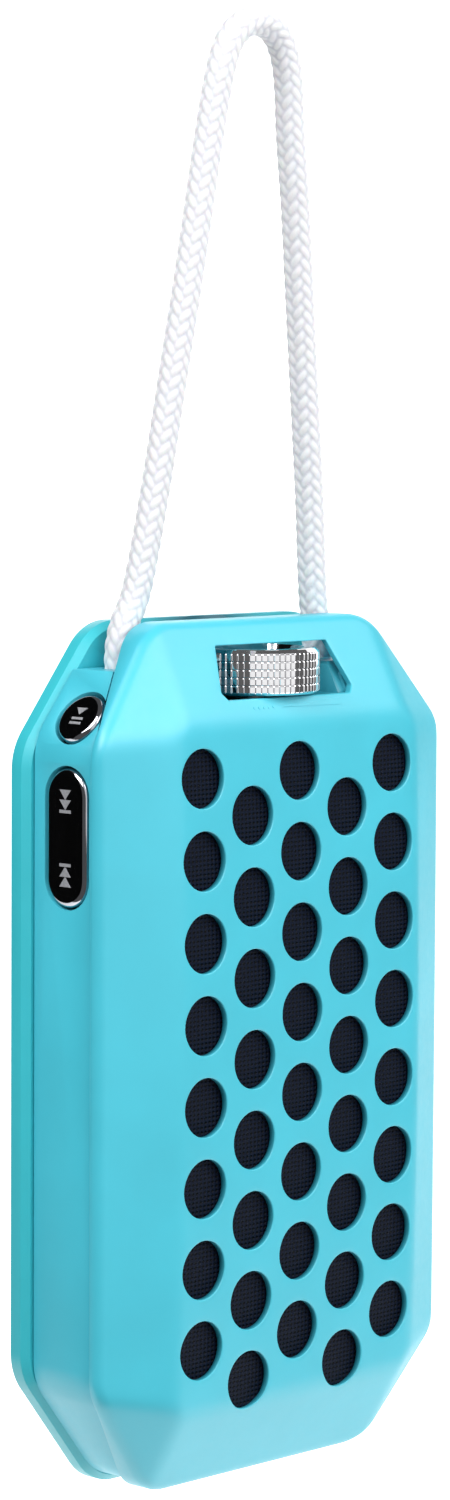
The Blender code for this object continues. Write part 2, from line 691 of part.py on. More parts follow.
# ---------------------------------------------------------------- wheel
def make_volume_control():
    """The wheel, its shaft, the potentiometer under the pocket floor and its board."""
    chamfer = WHEEL_CHAMFER
    dish = WHEEL_TOP - WHEEL_DISH_DEPTH
    turned("volume_wheel", [
        (SHAFT_RADIUS + GAP, dish), (WHEEL_DISH_RADIUS, dish), (WHEEL_DISH_RADIUS + GAP, WHEEL_TOP),
        (WHEEL_RADIUS - chamfer, WHEEL_TOP), (WHEEL_RADIUS, WHEEL_TOP - chamfer),
        (WHEEL_RADIUS, WHEEL_BOTTOM + chamfer), (WHEEL_RADIUS - chamfer, WHEEL_BOTTOM),
        (SHAFT_RADIUS + GAP, WHEEL_BOTTOM)], (0, WHEEL_AXIS_Y, 0), (0, 0, 1), CHROME, 40)
    pot_top = POCKET_FLOOR - BAND_WALL - GAP
    shaft_bottom = pot_top + GAP
    shaft_top = dish - GAP
    rod("wheel_shaft", (0, WHEEL_AXIS_Y, (shaft_top + shaft_bottom) / 2), (0, 0, 1), SHAFT_RADIUS,
        shaft_top - shaft_bottom, STEEL, 16)
    block("volume_potentiometer", (0, WHEEL_AXIS_Y, pot_top - POT_SIZE[2] / 2), POT_SIZE, DARK_PLASTIC,
          SMALL_BEVEL)
    board_height = pot_top - POT_SIZE[2] - GAP - VOLUME_BOARD_SIZE[2] / 2
    block("volume_board", (0, WHEEL_AXIS_Y + VOLUME_BOARD_SHIFT, board_height), VOLUME_BOARD_SIZE,
          BOARD_GREEN)


# ---------------------------------------------------------------- buttons
def make_play_button():
    """The round button on the corner cut, with its retaining flange and stem, and its switch."""
    centre, normal = chamfer_frame()
    radius = PLAY_CAP_RADIUS
    flange = PLAY_OPENING_RADIUS + GAP
    under = -BAND_WALL - PLAY_FLANGE_DEPTH
    flange_end = under - PLAY_FLANGE_THICKNESS
    stem_end = flange_end - PLAY_STEM_LENGTH
    turned("play_button", [
        (0.0, PLAY_PROUD), (radius * 0.80, PLAY_PROUD), (radius * 0.95, PLAY_PROUD - GAP),
        (radius, PLAY_PROUD - 3 * GAP), (radius, under), (flange, under), (flange, flange_end),
        (PLAY_STEM_RADIUS, flange_end), (PLAY_STEM_RADIUS, stem_end), (0.0, stem_end)],
        centre, normal, CHROME, 32)
    switch_middle = stem_end - BUTTON_TRAVEL_GAP - SWITCH_HEIGHT / 2
    rod("play_switch", centre + normal * switch_middle, normal, SWITCH_RADIUS, SWITCH_HEIGHT, DARK_PLASTIC,
        16)


def make_skip_rocker():
    """The long rocker for previous and next, on a pin behind its middle."""
    wall_face = -(SHELL_HALF_WIDTH - BAND_INSET)
    face = wall_face - ROCKER_PROUD
    under = wall_face + BAND_WALL + ROCKER_UNDER_GAP
    cap = pill(ROCKER_CAP[0] / 2, ROCKER_CAP[1] / 2, 8)
    rings = [ring(inset(cap, 2 * GAP), 0.0), ring(inset(cap, GAP / 2), GAP), ring(cap, 3 * GAP),
             ring(cap, under - face)]
    rocker = add_object("skip_rocker", mesh_from(loft(rings, True, True), "skip_rocker"), CHROME)
    rocker.rotation_euler = (0.0, 0.0, -math.pi / 2)
    rocker.location = (face, BUTTON_CENTRE_Y, ROCKER_CENTRE_Z)
    pin_x = wall_face + ROCKER_PIN_DEPTH
    hub_start = under - 2 * GAP
    hub_end = pin_x + ROCKER_HUB_SIZE[1] / 2
    hub = block("join_rocker_hub", ((hub_start + hub_end) / 2, BUTTON_CENTRE_Y, ROCKER_CENTRE_Z),
                (hub_end - hub_start, *ROCKER_HUB_SIZE), None, 0.0, cutters)
    combine(rocker, hide_cutter(hub), "UNION")
    nib_x = under - 2 * GAP + ROCKER_NIB_SIZE[0] / 2
    for side in (-1, 1):
        nib_place = (nib_x, BUTTON_CENTRE_Y, ROCKER_CENTRE_Z + side * ROCKER_NIB_HEIGHT)
        nib = block(f"join_rocker_nib_{side}", nib_place, ROCKER_NIB_SIZE, None, 0.0, cutters)
        combine(rocker, hide_cutter(nib), "UNION")
    pin_place = (pin_x, BUTTON_CENTRE_Y, ROCKER_CENTRE_Z)
    bore = rod("cut_rocker_bore", pin_place, (0, 1, 0), ROCKER_PIN_RADIUS + GAP, 2 * CUT_REACH, None,
               16, cutters)
    combine(rocker, hide_cutter(bore))
    rod("rocker_pin", pin_place, (0, 1, 0), ROCKER_PIN_RADIUS, ROCKER_CAP[1], STEEL, 16)
    switch_x = nib_x + ROCKER_NIB_SIZE[0] / 2 + BUTTON_TRAVEL_GAP + SWITCH_HEIGHT / 2
    for name, side in (("previous_switch", 1), ("next_switch", -1)):
        rod(name, (switch_x, BUTTON_CENTRE_Y, ROCKER_CENTRE_Z + side * ROCKER_NIB_HEIGHT), (1, 0, 0),
            SWITCH_RADIUS, SWITCH_HEIGHT, DARK_PLASTIC, 16)
    board_x = max(switch_x + SWITCH_HEIGHT / 2, hub_end) + GAP + BUTTON_BOARD_SIZE[0] / 2
    block("button_board", (board_x, BUTTON_CENTRE_Y, ROCKER_CENTRE_Z), BUTTON_BOARD_SIZE, BOARD_GREEN)


# ---------------------------------------------------------------- rope
def rope_route():
    """The rope loop's centreline, from its left end over the apex to its right end."""
    apex = HANG_OVER_FACE + ROPE_DIAMETER / 2
    end_height = SLOT_FLOOR - BAND_WALL + GAP
    left = [(ROPE_LEFT_X, ROPE_EXIT_Y, end_height), (ROPE_LEFT_X, ROPE_EXIT_Y, 0.0735),
            (-0.0252, 0.0190, 0.0780),
            (-0.0225, 0.0187, 0.0840), (-0.0196, 0.0177, 0.0990), (-0.0170, 0.0166, 0.1160),
            (-0.0144, 0.0155, 0.1330), (-0.0121, 0.0145, 0.1490), (-0.0103, 0.0137, 0.1620),
            (-0.0086, 0.0130, 0.1720), (-0.0066, 0.0127, 0.1775), (-0.0036, 0.0125, 0.1804)]
    right = [(0.0036, 0.0125, 0.1804), (0.0066, 0.0127, 0.1775), (0.0086, 0.0130, 0.1720),
             (0.0101, 0.0137, 0.1620),
             (0.0124, 0.0145, 0.1490), (0.0148, 0.0155, 0.1330), (0.0174, 0.0166, 0.1160),
             (0.0200, 0.0177, 0.0990), (0.0220, 0.0187, 0.0840), (0.0230, 0.0190, 0.0780),
             (ROPE_RIGHT_X, ROPE_EXIT_Y, 0.0735), (ROPE_RIGHT_X, ROPE_EXIT_Y, end_height)]
    return left + [(0.0, HANG_BEHIND_FACE, apex)] + right


def smooth_route(points, spacing):
    """Points along a Catmull-Rom curve through the given ones."""
    padded = [points[0]] + list(points) + [points[-1]]
    route = []
    for first, start, end, last in zip(padded, padded[1:], padded[2:], padded[3:]):
        a, b, c, d = (Vector(point) for point in (first, start, end, last))
        steps = max(1, round((c - b).length / spacing))
        for step in range(steps):
            t = step / steps
            route.append(0.5 * (2 * b + (c - a) * t + (2 * a - 5 * b + 4 * c - d) * t * t
                                + (3 * b - 3 * c + d - a) * t * t * t))
    route.append(Vector(points[-1]))
    return route


def make_rope():
    """The rope handle as a plain tube, and the ferrules that hold its ends under the slot floor."""
    curve = bpy.data.curves.new("rope_handle", "CURVE")
    curve.dimensions = "3D"
    curve.bevel_depth = ROPE_DIAMETER / 2
    curve.bevel_resolution = 2
    curve.use_fill_caps = True
    route = smooth_route(rope_route(), ROPE_DIAMETER)
    spline = curve.splines.new("POLY")
    spline.points.add(len(route) - 1)
    for point, place in zip(spline.points, route):
        point.co = (*place, 1.0)
    add_object("rope_handle", curve, ROPE_WHITE)
    top = SLOT_FLOOR - BAND_WALL - GAP
    for name, x in (("rope_ferrule_left", ROPE_LEFT_X), ("rope_ferrule_right", ROPE_RIGHT_X)):
        rod(name, (x, ROPE_EXIT_Y, top - FERRULE_LENGTH / 2), (0, 0, 1), FERRULE_RADIUS, FERRULE_LENGTH,
            STEEL, 16)


# ---------------------------------------------------------------- electronics
SOCKETS = (("usb_socket", (0.0388, 0.0168, -0.0240), (0.0070, 0.0030, 0.0080)),
           ("aux_socket", (0.0375, 0.0155, -0.0080), (0.0096, 0.0056, 0.0056)))
SOCKET_FLOOR = 0.0020
USB_WALL = 0.0005
AUX_MOUTH_RADIUS = 0.0018


def make_electronics():
    """Main board with its radio module, the battery, and the two sockets on the right side."""
    block("battery", (0, 0.0200, 0.0), (0.0500, 0.0052, 0.0300), FOIL, 2 * SMALL_BEVEL)
    block("main_board", (0.0, 0.0249, 0.0060), (0.0560, 0.0012, 0.0620), BOARD_GREEN)
    block("radio_module", (-0.0195, 0.0233, 0.0300), (0.0120, 0.0014, 0.0080), STEEL, SMALL_BEVEL / 2)
    block("socket_board", (0.0345, 0.0192, -0.0165), (0.0090, 0.0012, 0.0290), BOARD_GREEN)
    for name, centre, size in SOCKETS:
        socket = block(name, centre, size, STEEL, SMALL_BEVEL)
        place = (centre[0] + SOCKET_FLOOR, centre[1], centre[2])
        if name == "usb_socket":
            mouth = block("cut_usb_mouth", place, (size[0], size[1] - 2 * USB_WALL, size[2] - 2 * USB_WALL),
                          None, 0.0, cutters)
        else:
            mouth = rod("cut_aux_mouth", place, (1, 0, 0), AUX_MOUTH_RADIUS, size[0], None, 16, cutters)
        combine(socket, hide_cutter(mouth))


make_front_shell()
make_speaker_mesh()
make_mid_housing()
make_back_cover()
make_screws()
make_baffle()
for driver_place, driver_height in DRIVER_HEIGHTS.items():
    make_driver(driver_place, driver_height)
make_volume_control()
make_play_button()
make_skip_rocker()
make_rope()
make_electronics()
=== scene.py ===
"""Looks of the portable bluetooth speaker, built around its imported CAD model.

Metres, +Z up, the front faces -Y. Pieces are drawn in the face frame, whose origin is the centre of the
sound-hole pattern on the front face (X right, Y back, Z up), and then moved to where the frame says.
"""
import json
import math

import bmesh
import bpy
from mathutils import Matrix, Vector
from mathutils.geometry import delaunay_2d_cdt


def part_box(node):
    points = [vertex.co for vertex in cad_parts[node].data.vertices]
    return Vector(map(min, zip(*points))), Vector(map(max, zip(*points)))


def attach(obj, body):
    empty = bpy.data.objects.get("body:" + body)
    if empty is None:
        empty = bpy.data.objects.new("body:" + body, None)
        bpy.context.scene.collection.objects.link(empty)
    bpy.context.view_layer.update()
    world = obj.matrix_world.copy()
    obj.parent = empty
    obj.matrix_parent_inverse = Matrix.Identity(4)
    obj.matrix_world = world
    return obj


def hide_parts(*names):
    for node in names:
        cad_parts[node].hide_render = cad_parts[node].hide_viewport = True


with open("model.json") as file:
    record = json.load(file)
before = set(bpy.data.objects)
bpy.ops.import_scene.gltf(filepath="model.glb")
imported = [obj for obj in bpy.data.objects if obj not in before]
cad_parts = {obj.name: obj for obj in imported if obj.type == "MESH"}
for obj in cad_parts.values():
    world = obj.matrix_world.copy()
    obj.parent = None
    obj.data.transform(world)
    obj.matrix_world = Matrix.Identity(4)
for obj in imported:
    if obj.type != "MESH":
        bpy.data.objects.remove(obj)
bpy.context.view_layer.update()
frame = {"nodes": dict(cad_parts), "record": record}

MM = 0.001
BIG = 1000.0
CLOSE = 0.00001

# Outlines in the face frame, as the CAD model has them
SHELL_HALF_WIDTH = 0.0433
SHELL_TOP = 0.0785
SHELL_BOTTOM = -0.0715
CORNER_CUT_X = 0.0154
CORNER_CUT_Z = 0.0194
CORNER_RADIUS = 0.0105
FACE_HALF_WIDTH = 0.030
FACE_TOP = 0.0615
FACE_BOTTOM = -0.0565
FACE_CORNER_X = 0.0015
FACE_CORNER_Z = 0.0020
FACE_CROWN = 0.41
FACET_DEPTH_SIDE = 0.0068
FACET_DEPTH_END = 0.0102
LIP_DEPTH_SIDE = 0.0090
LIP_SLOPE = 0.40
LIP_STRAIGHT = 0.0025
SHELL_WALL = 0.0012

# Place of the face frame, from the CAD shell
shell_low, shell_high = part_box("front_shell")
FACE_ORIGIN = Vector((0.0, shell_low.y, shell_high.z - SHELL_TOP))


# ---------------------------------------------------------------- camera
CAMERA_PLACE = (-0.55154, -0.51630, -0.06094)
CAMERA_RIGHT = (0.688298, -0.725407, 0.005566)
CAMERA_UP = (0.056001, 0.060783, 0.996579)
CAMERA_BACK = (-0.723263, -0.685632, 0.082460)
CAMERA_LENS = 104.2


def make_camera():
    """The camera, turned by its three axes."""
    data = bpy.data.cameras.new("camera")
    data.lens = CAMERA_LENS
    data.sensor_width = 36.0
    data.sensor_fit = "AUTO"
    data.clip_start = 0.01
    camera = bpy.data.objects.new("camera", data)
    turn = Matrix((CAMERA_RIGHT, CAMERA_UP, CAMERA_BACK)).transposed().to_4x4()
    camera.matrix_world = Matrix.Translation(CAMERA_PLACE) @ turn
    bpy.context.scene.collection.objects.link(camera)
    bpy.context.scene.camera = camera


make_camera()


# ---------------------------------------------------------------- materials
class Nodes:
    """A short way to build a material's node tree."""

    def __init__(self, name):
        self.material = bpy.data.materials.new(name)
        self.material.use_nodes = True
        self.tree = self.material.node_tree
        self.shader = self.tree.nodes["Principled BSDF"]
        self.place = self.tree.nodes.new("ShaderNodeTexCoord").outputs["Object"]

    def link(self, output, target):
        self.tree.links.new(output, target)

    def fill(self, socket, value):
        """Link a socket to an output, or give it a value."""
        if isinstance(value, bpy.types.NodeSocket):
            self.link(value, socket)
        else:
            socket.default_value = value

    def node(self, kind, **inputs):
        """Add a node and set or link its inputs by name."""
        found = self.tree.nodes.new(kind)
        for name, value in inputs.items():
            self.fill(found.inputs[name.replace("_", " ")], value)
        return found

    def calculate(self, kind, *values):
        """A number worked out from others."""
        found = self.tree.nodes.new("ShaderNodeMath")
        found.operation = kind
        for socket, value in zip(found.inputs, values):
            self.fill(socket, value)
        return found.outputs[0]

    def attribute(self, name):
        """A number painted on the mesh."""
        found = self.tree.nodes.new("ShaderNodeAttribute")
        found.attribute_name = name
        return found.outputs["Fac"]

    def noise(self, scale, detail=2.0, stretch=None):
        """Noise over the object, in cells a metre; stretch scales its three axes."""
        place = self.place
        if stretch is not None:
            place = self.node("ShaderNodeMapping", Vector=place, Scale=stretch).outputs["Vector"]
        return self.node("ShaderNodeTexNoise", Vector=place, Scale=scale, Detail=detail).outputs["Fac"]

    def between(self, factor, low, high):
        """A value that goes from low to high as the factor goes from 0.3 to 0.7."""
        ranged = self.tree.nodes.new("ShaderNodeMapRange")
        self.link(factor, ranged.inputs["Value"])
        for name, value in (("From Min", 0.3), ("From Max", 0.7), ("To Min", low), ("To Max", high)):
            ranged.inputs[name].default_value = value
        return ranged.outputs["Result"]

    def mix(self, factor, first, second):
        """A colour between two."""
        mixer = self.tree.nodes.new("ShaderNodeMix")
        mixer.data_type = "RGBA"
        self.link(factor, mixer.inputs["Factor"])
        for socket, colour in ((mixer.inputs["A"], first), (mixer.inputs["B"], second)):
            self.fill(socket, (*colour, 1.0) if isinstance(colour, tuple) else colour)
        return mixer.outputs["Result"]

    def colour(self, value):
        self.link(value, self.shader.inputs["Base Color"])

    def set(self, **values):
        """Uniform values, straight on the shader."""
        for name, value in values.items():
            self.shader.inputs[name.replace("_", " ")].default_value = value

    def roughness(self, factor, low, high):
        self.link(self.between(factor, low, high), self.shader.inputs["Roughness"])

    def bump(self, height, strength, distance, sunk=False):
        """Raise or sink the surface by a height, on top of the bumps it has."""
        bumped = self.node("ShaderNodeBump", Strength=strength, Distance=distance, Height=height)
        bumped.invert = sunk
        normal = self.shader.inputs["Normal"]
        if normal.is_linked:
            self.link(normal.links[0].from_socket, bumped.inputs["Normal"])
        self.link(bumped.outputs["Normal"], normal)


# The first attribute holds each vertex's amount of painted shade on walls inside openings; the second holds
# the height of the rope's braid
PAINTED_SHADE = "painted_wall_shade"
STRAND_HEIGHT = "strand_height"
MESH_PITCH_X = 0.00095
MESH_PITCH_Z = 0.00080


def shade(colour, factor):
    """A colour made lighter or darker."""
    return tuple(min(1.0, channel * factor) for channel in colour)


def moulded_plastic(name, colour, rough=0.38):
    """Satin moulded plastic: faint mottling, uneven gloss, a fine grain and painted shade inside openings."""
    nodes = Nodes(name)
    mottling = nodes.between(nodes.noise(60, 3), 0, 1)
    skin_colour = nodes.mix(mottling, shade(colour, 0.965), shade(colour, 1.035))
    # painted shade: a dark teal mixed in by each vertex's painted shade amount, on walls that stand in shade
    deep = (0.0, colour[1] * 0.20, colour[2] * 0.24)
    nodes.colour(nodes.mix(nodes.attribute(PAINTED_SHADE), skin_colour, deep))
    nodes.roughness(nodes.noise(900, 3), rough - 0.03, rough + 0.04)
    nodes.bump(nodes.noise(3200, 2), 0.12, 0.00002)
    nodes.set(Specular_IOR_Level=0.80)
    return nodes.material


def polished_metal(name, colour, rough):
    """Plated or machined metal, with a faint unevenness in colour and gloss."""
    nodes = Nodes(name)
    streaks = nodes.noise(700, 4)
    nodes.colour(nodes.mix(nodes.between(streaks, 0, 1), shade(colour, 0.93), colour))
    nodes.roughness(streaks, rough * 0.7, rough * 1.4)
    nodes.set(Metallic=1.0)
    return nodes.material


def black_mirror(name):
    """Dark plated plastic: a clean mirror that looks black where the room is dark."""
    nodes = Nodes(name)
    nodes.colour(nodes.mix(nodes.noise(250, 2), (0.44, 0.45, 0.49), (0.52, 0.53, 0.57)))
    nodes.roughness(nodes.noise(1500, 2), 0.05, 0.10)
    nodes.bump(nodes.noise(500, 1), 0.05, 0.00003)
    nodes.set(Metallic=1.0)
    return nodes.material


def grille_paint(name):
    """Dark blue-black powder coat with the sheet's fine openings: dark round pits on a square lattice."""
    nodes = Nodes(name)
    parts = nodes.node("ShaderNodeSeparateXYZ", Vector=nodes.place)
    waves = [nodes.calculate("COSINE", nodes.calculate("MULTIPLY", parts.outputs[axis], math.tau / pitch))
             for axis, pitch in (("X", MESH_PITCH_X), ("Z", MESH_PITCH_Z))]
    both = nodes.calculate("MULTIPLY_ADD", nodes.calculate("ADD", *waves), 0.25, 0.5)
    pit = nodes.calculate("SMOOTH_MAX", nodes.calculate("MULTIPLY_ADD", both, 2.4, -1.1), 0.0, 0.2)
    paint = nodes.mix(nodes.noise(1800, 3), (0.003, 0.006, 0.017), (0.007, 0.012, 0.030))
    nodes.colour(nodes.mix(pit, paint, (0.001, 0.001, 0.002)))
    nodes.roughness(nodes.noise(4000, 2), 0.42, 0.58)
    nodes.bump(nodes.noise(6000, 2), 0.25, 0.00003)
    nodes.bump(pit, 0.8, 0.0003, True)
    nodes.set(Specular_IOR_Level=0.12)
    return nodes.material


def rope_fibre(name):
    """White polyester yarn: fine fibres along each strand, painted shade between the strands, soft sheen."""
    nodes = Nodes(name)
    fibres = nodes.noise(2600, 3, (1.0, 1.0, 0.35))
    tone = nodes.mix(nodes.between(nodes.noise(220, 2), 0, 1), (0.89, 0.895, 0.92), (0.95, 0.955, 0.97))
    yarn = nodes.mix(nodes.between(fibres, 0, 0.30), tone, (0.72, 0.73, 0.77))
    # painted shade: grey where the braid's strand height is low, between the strands
    nodes.colour(nodes.mix(nodes.between(nodes.attribute(STRAND_HEIGHT), 0, 1), (0.72, 0.73, 0.78), yarn))
    nodes.roughness(fibres, 0.72, 0.9)
    nodes.bump(fibres, 0.35, 0.00006)
    nodes.set(Sheen_Weight=0.35, Sheen_Roughness=0.5, Subsurface_Weight=0.12, Subsurface_Scale=0.0015)
    return nodes.material


def plain_finish(name, colour, rough, metallic=0.0, cells=900):
    """A finish for inner pieces: mottled colour, uneven gloss and a light grain."""
    nodes = Nodes(name)
    texture = nodes.noise(cells, 3)
    nodes.colour(nodes.mix(nodes.between(texture, 0, 1), shade(colour, 0.8), shade(colour, 1.15)))
    nodes.roughness(texture, rough * 0.85, min(1.0, rough * 1.15))
    nodes.bump(texture, 0.2, 0.00004)
    nodes.set(Metallic=metallic)
    return nodes.material


SHELL_COLOUR = (0.070, 0.60, 0.750)
RIM_COLOUR = (0.045, 0.575, 0.665)
FINISHES = {
    "turquoise_plastic": moulded_plastic("turquoise_plastic_look", SHELL_COLOUR),
    "turquoise_rim": moulded_plastic("turquoise_rim_look", RIM_COLOUR, 0.36),
    "mesh_black": grille_paint("grille_paint"),
    "chrome": polished_metal("wheel_plating", (0.86, 0.86, 0.88), 0.07),
    "gloss_black": black_mirror("black_mirror"),
    "rope_white": rope_fibre("rope_fibre"),
    "dark_plastic": plain_finish("dark_plastic_look", (0.03, 0.03, 0.035), 0.5),
    "paper_cone": plain_finish("coated_paper", (0.045, 0.045, 0.05), 0.8, 0.0, 2500),
    "rubber": plain_finish("rubber_look", (0.02, 0.02, 0.021), 0.65),
    "steel": polished_metal("plain_steel", (0.62, 0.62, 0.64), 0.28),
    "copper": polished_metal("enamelled_copper", (0.72, 0.36, 0.18), 0.3),
    "board_green": plain_finish("solder_mask", (0.02, 0.18, 0.08), 0.4, 0.0, 400),
    "battery_foil": plain_finish("battery_pouch", (0.55, 0.57, 0.60), 0.35, 0.8, 300),
}
SYMBOL_SILVER = plain_finish("symbol_print", (0.46, 0.47, 0.50), 0.35, 0.3, 3000)


def finish_cad_nodes():
    """Give every CAD node the finish of its material slot."""
    slots = {entry["node"]: entry["material_slot"] for entry in frame["record"]["subparts"]}
    for name, node in frame["nodes"].items():
        node.data.materials.clear()
        node.data.materials.append(FINISHES[slots[name]])


finish_cad_nodes()


# ---------------------------------------------------------------- outlines in the XZ plane
def rounded(corners, radius, steps):
    """The closed polygon with each of its corners turned into an arc; radius may be one for each corner."""
    points = []
    for index, corner in enumerate(corners):
        size = radius[index] if isinstance(radius, (list, tuple)) else radius
        here = Vector(corner)
        back = (Vector(corners[index - 1]) - here).normalized()
        ahead = (Vector(corners[(index + 1) % len(corners)]) - here).normalized()
        half_angle = back.angle(ahead) / 2
        reach = size / math.tan(half_angle)
        centre = here + (back + ahead).normalized() * (size / math.sin(half_angle))
        start = here + back * reach - centre
        end = here + ahead * reach - centre
        for step in range(steps + 1):
            spoke = start.normalized().slerp(end.normalized(), step / steps)
            points.append(tuple(centre + spoke * start.length))
    return points


def inset(points, distance):
    """The closed anticlockwise polygon moved inwards by a distance, with mitred corners."""
    moved = []
    for index, point in enumerate(points):
        here = Vector(point)
        before = (here - Vector(points[index - 1])).normalized()
        after = (Vector(points[(index + 1) % len(points)]) - here).normalized()
        both = Vector((-before.y - after.y, before.x + after.x))
        moved.append(tuple(here + both * (distance / (1 + before.dot(after)))))
    return moved


def divided(points, spacing):
    """The closed polygon with its long sides cut into pieces of about the spacing."""
    cut = []
    for index, point in enumerate(points):
        here = Vector(point)
        side = Vector(points[(index + 1) % len(points)]) - here
        pieces = max(1, round(side.length / spacing))
        cut += [tuple(here + side * (piece / pieces)) for piece in range(pieces)]
    return cut


def mirrored(right):
    """A closed outline from its right half, listed from the bottom up."""
    return right + [(-x, z) for x, z in reversed(right)]


def cut_rectangle(half_width, bottom, top, cut_x, cut_z):
    """Corners of a rectangle with cut corners, anticlockwise seen from the front."""
    right = [(half_width - cut_x, bottom), (half_width, bottom + cut_z),
             (half_width, top - cut_z), (half_width - cut_x, top)]
    return mirrored(right)


def pill(half_length, half_width, steps):
    """A slot shape with round ends, long along its second axis."""
    straight = half_length - half_width
    points = []
    for step in range(steps + 1):
        angle = math.pi * step / steps
        points.append((half_width * math.cos(angle), straight + half_width * math.sin(angle)))
    return points + [(-x, -z) for x, z in points]


def circle(radius, count, x=0.0, z=0.0):
    """A circle's points, anticlockwise."""
    angles = [math.tau * step / count for step in range(count)]
    return [(x + radius * math.cos(angle), z + radius * math.sin(angle)) for angle in angles]


def inside(points, x, z, margin=0.0):
    """True if a place is inside a convex anticlockwise polygon, by at least the margin."""
    for index, (x1, z1) in enumerate(points):
        x0, z0 = points[index - 1]
        length = math.hypot(x1 - x0, z1 - z0)
        if ((x1 - x0) * (z - z0) - (z1 - z0) * (x - x0)) / length < margin:
            return False
    return True


ARC_STEPS = 12
SHELL_CORNERS = cut_rectangle(SHELL_HALF_WIDTH, SHELL_BOTTOM, SHELL_TOP, CORNER_CUT_X, CORNER_CUT_Z)
SHELL_OUTLINE = rounded(SHELL_CORNERS, CORNER_RADIUS, ARC_STEPS)
CUT_START_TOP = SHELL_TOP - CORNER_CUT_Z
CUT_START_BOTTOM = SHELL_BOTTOM + CORNER_CUT_Z


# ---------------------------------------------------------------- mesh helpers
def add_piece(name, data, material, body="root"):
    """Link a mesh or curve drawn in the face frame, put it in place and let it ride on a body."""
    item = bpy.data.objects.new(name, data)
    bpy.context.scene.collection.objects.link(item)
    if material is not None:
        data.materials.append(material)
    item.location = FACE_ORIGIN
    if body is not None:
        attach(item, body)
    return item


def mesh_from(shape, name, angle=35, outwards=True):
    """Turn a bmesh into a mesh, shaded round except over edges sharper than an angle."""
    if outwards:
        bmesh.ops.recalc_face_normals(shape, faces=shape.faces)
    mesh = bpy.data.meshes.new(name)
    shape.to_mesh(mesh)
    shape.free()
    mesh.shade_smooth()
    mesh.set_sharp_from_angle(angle=math.radians(angle))
    return mesh


def bridge(shape, near, far):
    """Quads between two closed loops of vertices with the same count."""
    for index in range(len(near)):
        following = (index + 1) % len(near)
        shape.faces.new((near[index], near[following], far[following], far[index]))


def loft(rings, closed=True, shape=None):
    """Skin between rings with the same number of points, its ends closed if asked; shape is added to."""
    shape = shape or bmesh.new()
    loops = [[shape.verts.new(point) for point in points] for points in rings]
    for near, far in zip(loops, loops[1:]):
        bridge(shape, near, far)
    if closed:
        shape.faces.new(loops[0])
        shape.faces.new(list(reversed(loops[-1])))
    return shape


def ring(outline, depth):
    """The outline as points in space; depth is a number or a function of the place in the outline."""
    if callable(depth):
        return [(x, depth(x, z), z) for x, z in outline]
    return [(x, depth, z) for x, z in outline]


def turned(profile, steps):
    """A bmesh of (radius, height) points turned round the Z axis; the two ends lie on the axis."""
    shape = bmesh.new()
    loops = []
    for radius, height in profile:
        if radius < CLOSE:
            loops.append([shape.verts.new((0, 0, height))])
        else:
            loops.append([shape.verts.new((x, y, height)) for x, y in circle(radius, steps)])
    for near, far in zip(loops, loops[1:]):
        if len(near) == 1 or len(far) == 1:
            tip, edge = (near[0], far) if len(near) == 1 else (far[0], near)
            for index in range(len(edge)):
                shape.faces.new((tip, edge[index], edge[(index + 1) % len(edge)]))
        else:
            bridge(shape, near, far)
    return shape


def carve(item, tools, round_over):
    """Cut several temporary shapes out of a piece for good, then round its sharp edges."""
    for tool in tools:
        cut = item.modifiers.new("cut", "BOOLEAN")
        cut.object = tool
        cut.solver = "EXACT"
    edges = item.modifiers.new("edges", "BEVEL")
    edges.width = round_over
    edges.segments = 2
    edges.limit_method = "ANGLE"
    edges.angle_limit = math.radians(50)
    edges.use_clamp_overlap = True
    bpy.context.view_layer.update()
    final = bpy.data.meshes.new_from_object(item.evaluated_get(bpy.context.evaluated_depsgraph_get()))
    item.modifiers.clear()
    item.data = final
    for tool in tools:
        bpy.data.objects.remove(tool)
    item.data.shade_smooth()
    item.data.set_sharp_from_angle(angle=math.radians(32))


def paint_wall_shade(item, amount_at):
    """Paint shade on the plastic: darken its colour by the amount a function gives for each vertex's place.
    """
    layer = item.data.attributes.new(PAINTED_SHADE, "FLOAT", "POINT").data
    layer.foreach_set("value", [amount_at(vert.co) for vert in item.data.vertices])


def temporary(shape, place=(0, 0, 0), axis=None):
    """An object for carving, drawn along Z and turned to an axis, at a place in the face frame."""
    item = add_piece("tool", mesh_from(shape, "tool"), None, None)
    item.location = FACE_ORIGIN + Vector(place)
    if axis is not None:
        item.rotation_euler = Vector(axis).to_track_quat("Z", "Y").to_euler()
    return item


def rod_tool(radius, length, place, axis, steps=48):
    """A cylinder for carving, centred at a place."""
    half = length / 2
    return temporary(turned([(0, -half), (radius, -half), (radius, half), (0, half)], steps), place, axis)


def box_tool(low, high):
    """A box for carving, between two corners."""
    shape = bmesh.new()
    bmesh.ops.create_cube(shape, size=1.0)
    size = Vector(high) - Vector(low)
    bmesh.ops.scale(shape, vec=size, verts=shape.verts)
    return temporary(shape, (Vector(low) + Vector(high)) / 2)


# ---------------------------------------------------------------- front cover
HOLE_RADIUS = 0.0051
HOLE_PITCH = 0.014
HOLE_COLUMN_STEP = 0.01205
HOLE_COLUMNS = 5
HOLE_ROWS = 8
HOLE_SIDES = 48
HOLE_EDGE = 0.00022
SHELL_EDGE = 0.0013
CREASE = 0.0009
EDGE_STEPS = 5
# Painted shade on the walls of the sound holes and the window: the amount where a wall meets its rounded
# edge, and the full amount at the back of the window's wall
PAINTED_SHADE_START = 0.20
PAINTED_WINDOW_SHADE = 0.35
FACE_GRID = 0.0011
ROW_STEP = 0.866
SLIVER = 0.004

